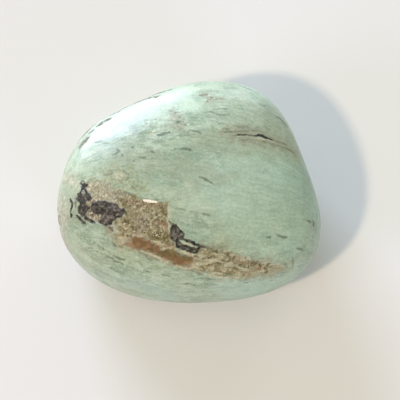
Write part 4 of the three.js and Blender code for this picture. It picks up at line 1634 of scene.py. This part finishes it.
LAYERS = (
    # Pale tint of the green; over the crown and the left shoulder it is painted glare.
    Layer(Mineral.PALE, (srgb(168, 183, 157), srgb(190, 203, 178)), Texture.FIBRES, 0.4, 0.62, 0.6, 1.4,
          0.7, 0.4),
    # A lighter, bluer green.
    Layer(Mineral.COOL, (srgb(156, 186, 168), srgb(182, 209, 192)), Texture.FIBRES, 0.34, 0.56, 0.8, 2.5,
          2.0, 0.4),
    # Painted shade: darker greens laid where the stone lies in shade.
    Layer(Mineral.DUSK, (srgb(134, 145, 122), srgb(160, 168, 145)), Texture.FIBRES, 0.3, 0.5, 0.9, 1.3,
          0.9, 0.42),
    Layer(Mineral.HALO, (srgb(108, 110, 88), srgb(141, 139, 115), srgb(161, 157, 133)), Texture.FIBRES,
          0.2, 0.6, 0.5, 0.7, 0.45, 0.45),
    Layer(Mineral.OLIVE, (srgb(126, 132, 98), srgb(152, 160, 122), srgb(172, 176, 142)), Texture.CLOUDS,
          0.35, 0.62, 0.7, 0.7, 0.5, 0.45),
    Layer(Mineral.BLEACH, (srgb(142, 142, 118), srgb(170, 170, 148), srgb(192, 191, 172)), Texture.CLOUDS,
          0.6, 0.7, 0.5, 0.8, 0.4, 0.5),
    # Dark green dashes and flecks; the hollow mark is a painted shadow.
    Layer(Mineral.DASH, (srgb(66, 82, 60), srgb(98, 113, 89)), Texture.CLOUDS, 0.2, 0.8, 0.06, 0.4, 0.13,
          0.45),
    Layer(Mineral.BUFF, (srgb(122, 112, 90), srgb(146, 138, 114), srgb(158, 152, 130),
          srgb(186, 180, 160)), Texture.CLOUDS, 0.32, 0.85, 0.45, 0.6, 0.3, 0.5, 0.012),
    Layer(Mineral.TAIL, (srgb(118, 113, 80), srgb(149, 145, 113), srgb(167, 163, 133),
          srgb(192, 188, 159)), Texture.FIBRES, 0.32, 0.8, 0.3, 0.45, 0.22, 0.5, 0.01),
    Layer(Mineral.GOLD, (srgb(101, 91, 60), srgb(127, 117, 86), srgb(145, 136, 104), srgb(158, 150, 119),
          srgb(182, 175, 145)), Texture.CRUMBS, 0.3, 0.9, 0.22, 0.5, 0.14, 0.5, 0.02),
    Layer(Mineral.ROSE, (srgb(124, 106, 84), srgb(148, 130, 108), srgb(164, 148, 126)), Texture.CRUMBS,
          0.26, 0.6, 0.25, 0.4, 0.22, 0.5, 0.01),
    Layer(Mineral.RUST, (srgb(104, 76, 48), srgb(132, 104, 72), srgb(146, 120, 88)), Texture.CRUMBS, 0.3,
          0.65, 0.2, 0.4, 0.2, 0.5, 0.01),
    Layer(Mineral.POOL, (srgb(104, 98, 84), srgb(138, 132, 118), srgb(158, 154, 142)), Texture.CRUMBS, 0.3,
          0.75, 0.25, 0.4, 0.2, 0.5, 0.01),
    Layer(Mineral.AMBER, (srgb(112, 92, 56), srgb(112, 82, 50), srgb(122, 90, 57), srgb(140, 110, 74)),
          Texture.CLOUDS, 0.9, 0.95, 0.2, 0.5, 0.32, 0.42),
    Layer(Mineral.MOSS, (srgb(72, 64, 32), srgb(98, 90, 52), srgb(118, 110, 68)), Texture.CRUMBS, 0.3,
          0.72, 0.2, 0.4, 0.16, 0.5, 0.01),
    Layer(Mineral.BROWN, (srgb(84, 72, 60), srgb(126, 114, 100)), Texture.CLOUDS, 0.3, 0.85, 0.14, 0.3,
          0.14, 0.95),
    # Cream streaks and crumbs; the pit glints are painted highlights.
    Layer(Mineral.CREAM, (srgb(172, 165, 136), srgb(200, 195, 167)), Texture.CLOUDS, 0.2, 0.7, 0.1, 0.25,
          0.08),
    Layer(Mineral.FLECK, (srgb(70, 58, 38), srgb(96, 84, 58)), Texture.CLOUDS, 0.3, 0.8, 0.12, 0.25, 0.1,
          0.45),
    Layer(Mineral.LINE, (srgb(82, 82, 60), srgb(106, 106, 82)), Texture.CLOUDS, 0.2, 0.62, 0.08, 0.5, 0.16,
          0.45),
    Layer(Mineral.ORE, (srgb(16, 13, 8), srgb(32, 28, 22), srgb(54, 47, 42), srgb(92, 84, 77)),
          Texture.CRUMBS, 0.26, 0.97, 0.07, 0.35, 0.08, 0.38, 0.02),
    Layer(Mineral.LILAC, (srgb(58, 52, 47), srgb(142, 135, 126)), Texture.CLOUDS, 0.24, 0.75, 0.12, 0.2,
          0.1, 0.38),
    Layer(Mineral.CRACK, (srgb(16, 15, 8), srgb(36, 33, 22)), Texture.CLOUDS, 0.3, 0.97, 0.04, 0.3, 0.05,
          0.8),
    # Painted highlight: near-white laid where light glints on the seam's upper edge.
    Layer(Mineral.GLINT, (srgb(244, 240, 220), srgb(250, 248, 232)), Texture.CLOUDS, 0.3, 0.95, 0.03, 0.3,
          0.04, 0.2),
)


@dataclass(frozen=True)
class Strands:
    """Noise drawn out along the fibres.

    Attributes:
        length: How long each strand is, in millimetres.
        width: How wide it is, in millimetres.
        seed: What sets these strands apart from others.
    """

    length: float
    width: float
    seed: float


@dataclass(frozen=True)
class CrumbFinish:
    """The crumbs' material: a tone for each crumb, mottled within."""

    tones: tuple[Colour, ...] = (srgb(88, 78, 47), srgb(125, 114, 81), srgb(143, 132, 99),
                                 srgb(154, 145, 114), srgb(168, 159, 129), srgb(196, 189, 162))
    roughness: float = 0.6
    mottle_size: float = 0.12
    mottle_seed: float = 6.3
    mottle: float = 0.35

    def build(self) -> bpy.types.Material:
        """Makes the material.

        Returns:
            The material.
        """
        material = bpy.data.materials.new("seam_crumb")
        material.use_nodes = True
        bench = Bench(material.node_tree)
        place = bench.scaled(bench.add("ShaderNodeTexCoord").outputs["Object"], 1 / MM)
        spots = bench.centred(bench.noise(place, self.mottle_size, self.mottle_seed))
        tone = bench.math("MULTIPLY_ADD", spots, self.mottle * 2, bench.attribute(GRAIN_TONE).outputs["Fac"])
        shader = material.node_tree.nodes["Principled BSDF"]
        shader.inputs["Roughness"].default_value = self.roughness
        bench.feed(shader.inputs["Base Color"], bench.ramp(tone, self.tones))
        return material


@dataclass(frozen=True)
class TurquoiseFinish:
    """The skin's material: veiled green turquoise with its minerals, painted shade, painted glare and painted
    glints laid on in turn.
    """

    effects: Effects
    layers: tuple[Layer, ...] = LAYERS
    body: tuple[Colour, ...] = (srgb(129, 147, 123), srgb(148, 166, 142), srgb(159, 177, 153),
                                srgb(174, 189, 166))
    cool: Colour = srgb(150, 177, 160)
    warm: Colour = srgb(160, 170, 140)
    streak: Colour = srgb(118, 134, 110)
    wisp: Colour = srgb(184, 198, 176)
    cloud_size: float = 6.0
    cloud_seed: float = 1.3
    mottle_size: float = 1.3
    mottle_seed: float = 2.9
    mottle_detail: float = 3.0
    grit_size: float = 0.17
    grit_seed: float = 4.1
    veils: Strands = Strands(5.0, 1.7, 0.0)
    strands: Strands = Strands(1.6, 0.34, 5.0)
    threads: Strands = Strands(0.7, 0.15, 9.0)
    streaks: Strands = Strands(1.1, 0.16, 17.0)
    wisps: Strands = Strands(1.4, 0.2, 23.0)
    veil_share: float = 0.6
    mottle_share: float = 0.6
    strand_share: float = 0.7
    thread_share: float = 0.6
    grit_share: float = 0.5
    tone_range: tuple[float, float] = (1.3, 1.7)
    cool_range: tuple[float, float] = (0.5, 0.72)
    cool_cover: float = 0.55
    warm_range: tuple[float, float] = (0.5, 0.3)
    warm_cover: float = 0.5
    streak_range: tuple[float, float] = (0.58, 0.72)
    streak_cover: float = 0.5
    wisp_range: tuple[float, float] = (0.56, 0.72)
    wisp_cover: float = 0.42
    strand_height: float = 0.006
    thread_height: float = 0.003
    crumb_blur: float = 0.25
    layer_strand_length: float = 8.0
    layer_strand_seed: float = 31.0
    layer_strand_range: tuple[float, float] = (0.3, 0.7)
    layer_cloud_seed: float = 12.5
    layer_cloud_range: tuple[float, float] = (0.32, 0.68)
    speckle_size: float = 0.26
    speckle_seed: float = 4.1
    speckle_range: tuple[float, float] = (0.3, 0.7)
    speckle: float = 0.04
    body_roughness: float = 0.36
    roughness_range: tuple[float, float] = (0.3, 0.7)
    roughness_sway: float = 0.08
    index_of_refraction: float = 1.6

    def build(self) -> bpy.types.Material:
        """Makes the material.

        Returns:
            The material.
        """
        material = bpy.data.materials.new("turquoise_skin")
        material.use_nodes = True
        bench = Bench(material.node_tree)
        place = bench.scaled(bench.add("ShaderNodeTexCoord").outputs["Object"], 1 / MM)
        course = bench.attribute(FLOW).outputs["Vector"]
        colour, roughness, height = self._body(bench, place, course)
        for layer in self.layers:
            mask, tint, crumbs = self._laid(bench, layer, place, course)
            colour = bench.blend(mask, colour, tint)
            roughness = bench.between(mask, roughness, layer.roughness)
            if layer.relief:
                height = bench.between(mask, height, bench.math("MULTIPLY", crumbs, layer.relief))
        speckle = bench.remap(bench.noise(place, self.speckle_size, self.speckle_seed, 1.0),
                              *self.speckle_range, 0.5 - self.speckle, 0.5 + self.speckle)
        colour = bench.blend(1.0, colour, speckle, "OVERLAY")
        shader = material.node_tree.nodes["Principled BSDF"]
        shader.inputs["IOR"].default_value = self.index_of_refraction
        bench.feed(shader.inputs["Base Color"], colour)
        bench.feed(shader.inputs["Roughness"], roughness)
        bump = bench.add("ShaderNodeBump", {"Height": height, "Distance": MM})
        bench.feed(shader.inputs["Normal"], bump.outputs[0])
        return material

    def _drawn(self, bench: Bench, course: Socket, strands: Strands) -> Socket:
        """Noise drawn out along the fibres."""
        fed = {"Course": course, "Length": strands.length, "Width": strands.width, "Seed": strands.seed}
        return bench.group(self.effects.fibres, fed)["Tone"]

    def _body(self, bench: Bench, place: Socket, course: Socket) -> tuple[Socket, Socket, Socket]:
        """The plain green stone.

        Args:
            bench: The material's bench.
            place: The place on the stone, in millimetres.
            course: The fibres' course.

        Returns:
            Its colour, its roughness and its height in millimetres.
        """
        clouds = bench.noise(place, self.cloud_size, self.cloud_seed)
        veils = self._drawn(bench, course, self.veils)
        mottle = bench.noise(place, self.mottle_size, self.mottle_seed, self.mottle_detail)
        strands = self._drawn(bench, course, self.strands)
        threads = self._drawn(bench, course, self.threads)
        grit = bench.noise(place, self.grit_size, self.grit_seed)
        tone = bench.math("MULTIPLY_ADD", veils, self.veil_share,
                          bench.math("MULTIPLY", mottle, self.mottle_share))
        finer = ((strands, self.strand_share), (threads, self.thread_share), (grit, self.grit_share))
        for noise, share in finer:
            tone = bench.math("ADD", tone, bench.math("MULTIPLY", noise, share))
        colour = bench.ramp(bench.remap(tone, *self.tone_range), self.body)
        streaks = self._drawn(bench, course, self.streaks)
        wisps = self._drawn(bench, course, self.wisps)
        for noise, span, cover, tint in ((clouds, self.cool_range, self.cool_cover, self.cool),
                                         (clouds, self.warm_range, self.warm_cover, self.warm),
                                         (streaks, self.streak_range, self.streak_cover, self.streak),
                                         (wisps, self.wisp_range, self.wisp_cover, self.wisp)):
            colour = bench.blend(bench.remap(noise, *span, 0.0, cover), colour, tint)
        roughness = bench.remap(strands, *self.roughness_range, self.body_roughness - self.roughness_sway,
                                self.body_roughness + self.roughness_sway)
        height = bench.math("MULTIPLY_ADD", strands, self.strand_height,
                            bench.math("MULTIPLY", threads, self.thread_height))
        return colour, roughness, height

    def _laid(self, bench: Bench, layer: Layer, place: Socket, course: Socket) -> tuple[Socket, Fed, Socket]:
        """One mineral's mask and colours.

        Args:
            bench: The material's bench.
            layer: The mineral as it shows.
            place: The place on the stone, in millimetres.
            course: The fibres' course.

        Returns:
            Its mask, its colour and its height from 0 to 1.
        """
        depth = bench.attribute(layer.mineral.value).outputs["Fac"]
        edge = bench.group(self.effects.frayed_edge,
                           {"Place": place, "Depth": depth, "Fray": layer.fray,
                            "Fray Size": layer.fray_size, "Softness": layer.softness})
        mask = bench.math("MULTIPLY", edge["Mask"], layer.cover)
        if layer.texture is Texture.CRUMBS:
            fed = {"Place": place, "Size": layer.grain, "Blur": self.crumb_blur}
            crumbs = bench.group(self.effects.crumbs, fed)
            tone = crumbs["Tone"]
            height = bench.math("SUBTRACT", 1.0, crumbs["Rim"])
        elif layer.texture is Texture.FIBRES:
            strands = Strands(layer.grain * self.layer_strand_length, layer.grain, self.layer_strand_seed)
            tone = bench.remap(self._drawn(bench, course, strands), *self.layer_strand_range)
            height = tone
        else:
            clouds = bench.noise(place, layer.grain, self.layer_cloud_seed)
            tone = bench.remap(clouds, *self.layer_cloud_range)
            height = tone
        return mask, bench.ramp(tone, layer.tones), height


# ---------------------------------------------------------------------------------------------
# The studio
# ---------------------------------------------------------------------------------------------

@dataclass(frozen=True)
class Lamp:
    """A soft rectangular light that faces the stone.

    Attributes:
        name: What the light stands for.
        azimuth: Direction from the stone, in degrees from +X.
        elevation: Height above the horizon, in degrees.
        width: Its side along the horizon, in metres.
        height: Its other side, in metres.
        watts: Its power.
        colour: Its linear colour.
        glints: Whether a polished surface mirrors it.
        fills: Whether it also lights what doesn't mirror it.
        distance: How far away it is, in metres.
    """

    name: str
    azimuth: float
    elevation: float
    width: float
    height: float
    watts: float
    colour: Triple
    glints: bool = True
    fills: bool = True
    distance: float = 1.0

    def build(self) -> bpy.types.Object:
        """Makes the light, in place, turned to the stone and itself out of sight.

        Returns:
            The light.
        """
        data = bpy.data.lights.new(self.name, "AREA")
        data.shape = "RECTANGLE"
        data.size, data.size_y = self.width, self.height
        data.energy, data.color = self.watts, self.colour
        lamp = bpy.data.objects.new(self.name, data)
        direction = towards(self.azimuth, self.elevation)
        lamp.location = direction * self.distance
        lamp.rotation_mode = "QUATERNION"
        lamp.rotation_quaternion = direction.to_track_quat("Z", "Y")
        lamp.visible_camera = False
        lamp.visible_glossy = self.glints
        lamp.visible_diffuse = self.fills
        bpy.context.scene.collection.objects.link(lamp)
        return lamp


LAMPS = (
    Lamp("lamp", 224.5, 47.5, 0.07, 0.07, 4.6, (1.0, 0.802, 0.559), False),
    Lamp("high_window", 117.5, 22.5, 0.46, 0.38, 8.6, (0.629, 0.73, 1.0)),
    Lamp("back_veil", 92.0, 31.0, 0.3, 0.26, 1.7, (0.66, 1.0, 1.0), fills=False),
    Lamp("low_window", 117.0, 3.0, 0.82, 0.1, 9.0, (0.874, 0.939, 1.0)),
    Lamp("right_glow", 75.0, 3.0, 0.25, 0.08, 1.1, (0.825, 0.939, 1.0)),
    Lamp("front_wall", 300.0, 15.0, 0.4, 0.3, 3.5, (0.686, 0.706, 1.0), False),
    Lamp("right_wall", 60.0, 22.0, 0.4, 0.3, 1.0, (1.0, 0.94, 0.95), False),
    Lamp("left_wall", 210.0, 22.0, 0.4, 0.3, 3.0, (0.73, 0.635, 1.0), False),
)


@dataclass(frozen=True)
class Studio:
    """The pale floor, the soft lights and the camera."""

    floor_half: float = 1.5
    floor_colour: Colour = (0.79, 0.79, 0.79, 1.0)
    floor_roughness: float = 0.18
    floor_gloss: float = 1.0
    camera_aim: Triple = (1.43 * MM, -1.84 * MM, 8.0 * MM)
    camera_distance: float = 0.17
    picture_width: float = 48.48 * MM
    sensor_width: float = 36.0
    lamps: tuple[Lamp, ...] = LAMPS
    sky_colour: Triple = (0.968, 1.0, 0.767)
    sky_strength: float = 0.4

    def build(self) -> None:
        """Makes the floor, the lights, the sky and the camera."""
        self._floor()
        for lamp in self.lamps:
            lamp.build()
        self._sky()
        self._camera()
        bpy.context.scene.view_settings.view_transform = "Standard"

    def _floor(self) -> bpy.types.Object:
        """Makes the pale floor.

        Returns:
            The floor.
        """
        half = self.floor_half
        mesh = bpy.data.meshes.new("floor")
        corners = [(-half, -half, 0), (half, -half, 0), (half, half, 0), (-half, half, 0)]
        mesh.from_pydata(corners, [], [(0, 1, 2, 3)])
        floor = bpy.data.objects.new("floor", mesh)
        bpy.context.scene.collection.objects.link(floor)
        paint = bpy.data.materials.new("floor_paint")
        paint.use_nodes = True
        shader = paint.node_tree.nodes["Principled BSDF"]
        shader.inputs["Base Color"].default_value = self.floor_colour
        shader.inputs["Roughness"].default_value = self.floor_roughness
        shader.inputs["Specular IOR Level"].default_value = self.floor_gloss
        mesh.materials.append(paint)
        return floor

    def _sky(self) -> None:
        """Sets the plain bright surroundings."""
        world = bpy.data.worlds.new("sky")
        world.use_nodes = True
        background = world.node_tree.nodes["Background"]
        background.inputs["Color"].default_value = (*self.sky_colour, 1.0)
        background.inputs["Strength"].default_value = self.sky_strength
        bpy.context.scene.world = world

    def _camera(self) -> bpy.types.Object:
        """Makes the camera that looks down on the stone.

        Returns:
            The camera.
        """
        data = bpy.data.cameras.new("camera")
        data.sensor_width = self.sensor_width
        data.lens = self.sensor_width * self.camera_distance / self.picture_width
        data.clip_start = 0.01
        camera = bpy.data.objects.new("camera", data)
        back = towards(*Side.FACE.value)
        camera.location = Vector(self.camera_aim) + back * self.camera_distance
        camera.rotation_mode = "QUATERNION"
        camera.rotation_quaternion = back.to_track_quat("Z", "Y")
        bpy.context.scene.collection.objects.link(camera)
        bpy.context.scene.camera = camera
        return camera


def main() -> None:
    """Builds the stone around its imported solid, then the studio."""
    logging.basicConfig(level=logging.INFO, format="%(name)s: %(message)s")
    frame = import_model()

    effects = Effects.made()
    solid = frame["nodes"][NODE]
    ground = ground_of(solid.data)
    face = tuple(MainView().lay(mark, ground) for mark in SEAM + FLECKS + LINES + RIM + DASHES)
    smooth = StoneBody(solid, face + AROUND).build()
    skin = WornRelief().carve(smooth, TurquoiseFinish(effects).build())
    crumbs = SeamCrumbs().scatter(skin, CrumbFinish().build())
    for piece in (skin, crumbs):
        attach(piece, BODY)
        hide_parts(NODE)
        LOG.info("%s: %d triangles", piece.name, sum(len(face.vertices) - 2 for face in piece.data.polygons))

    Studio().build()


if __name__ == "__main__":
    main()
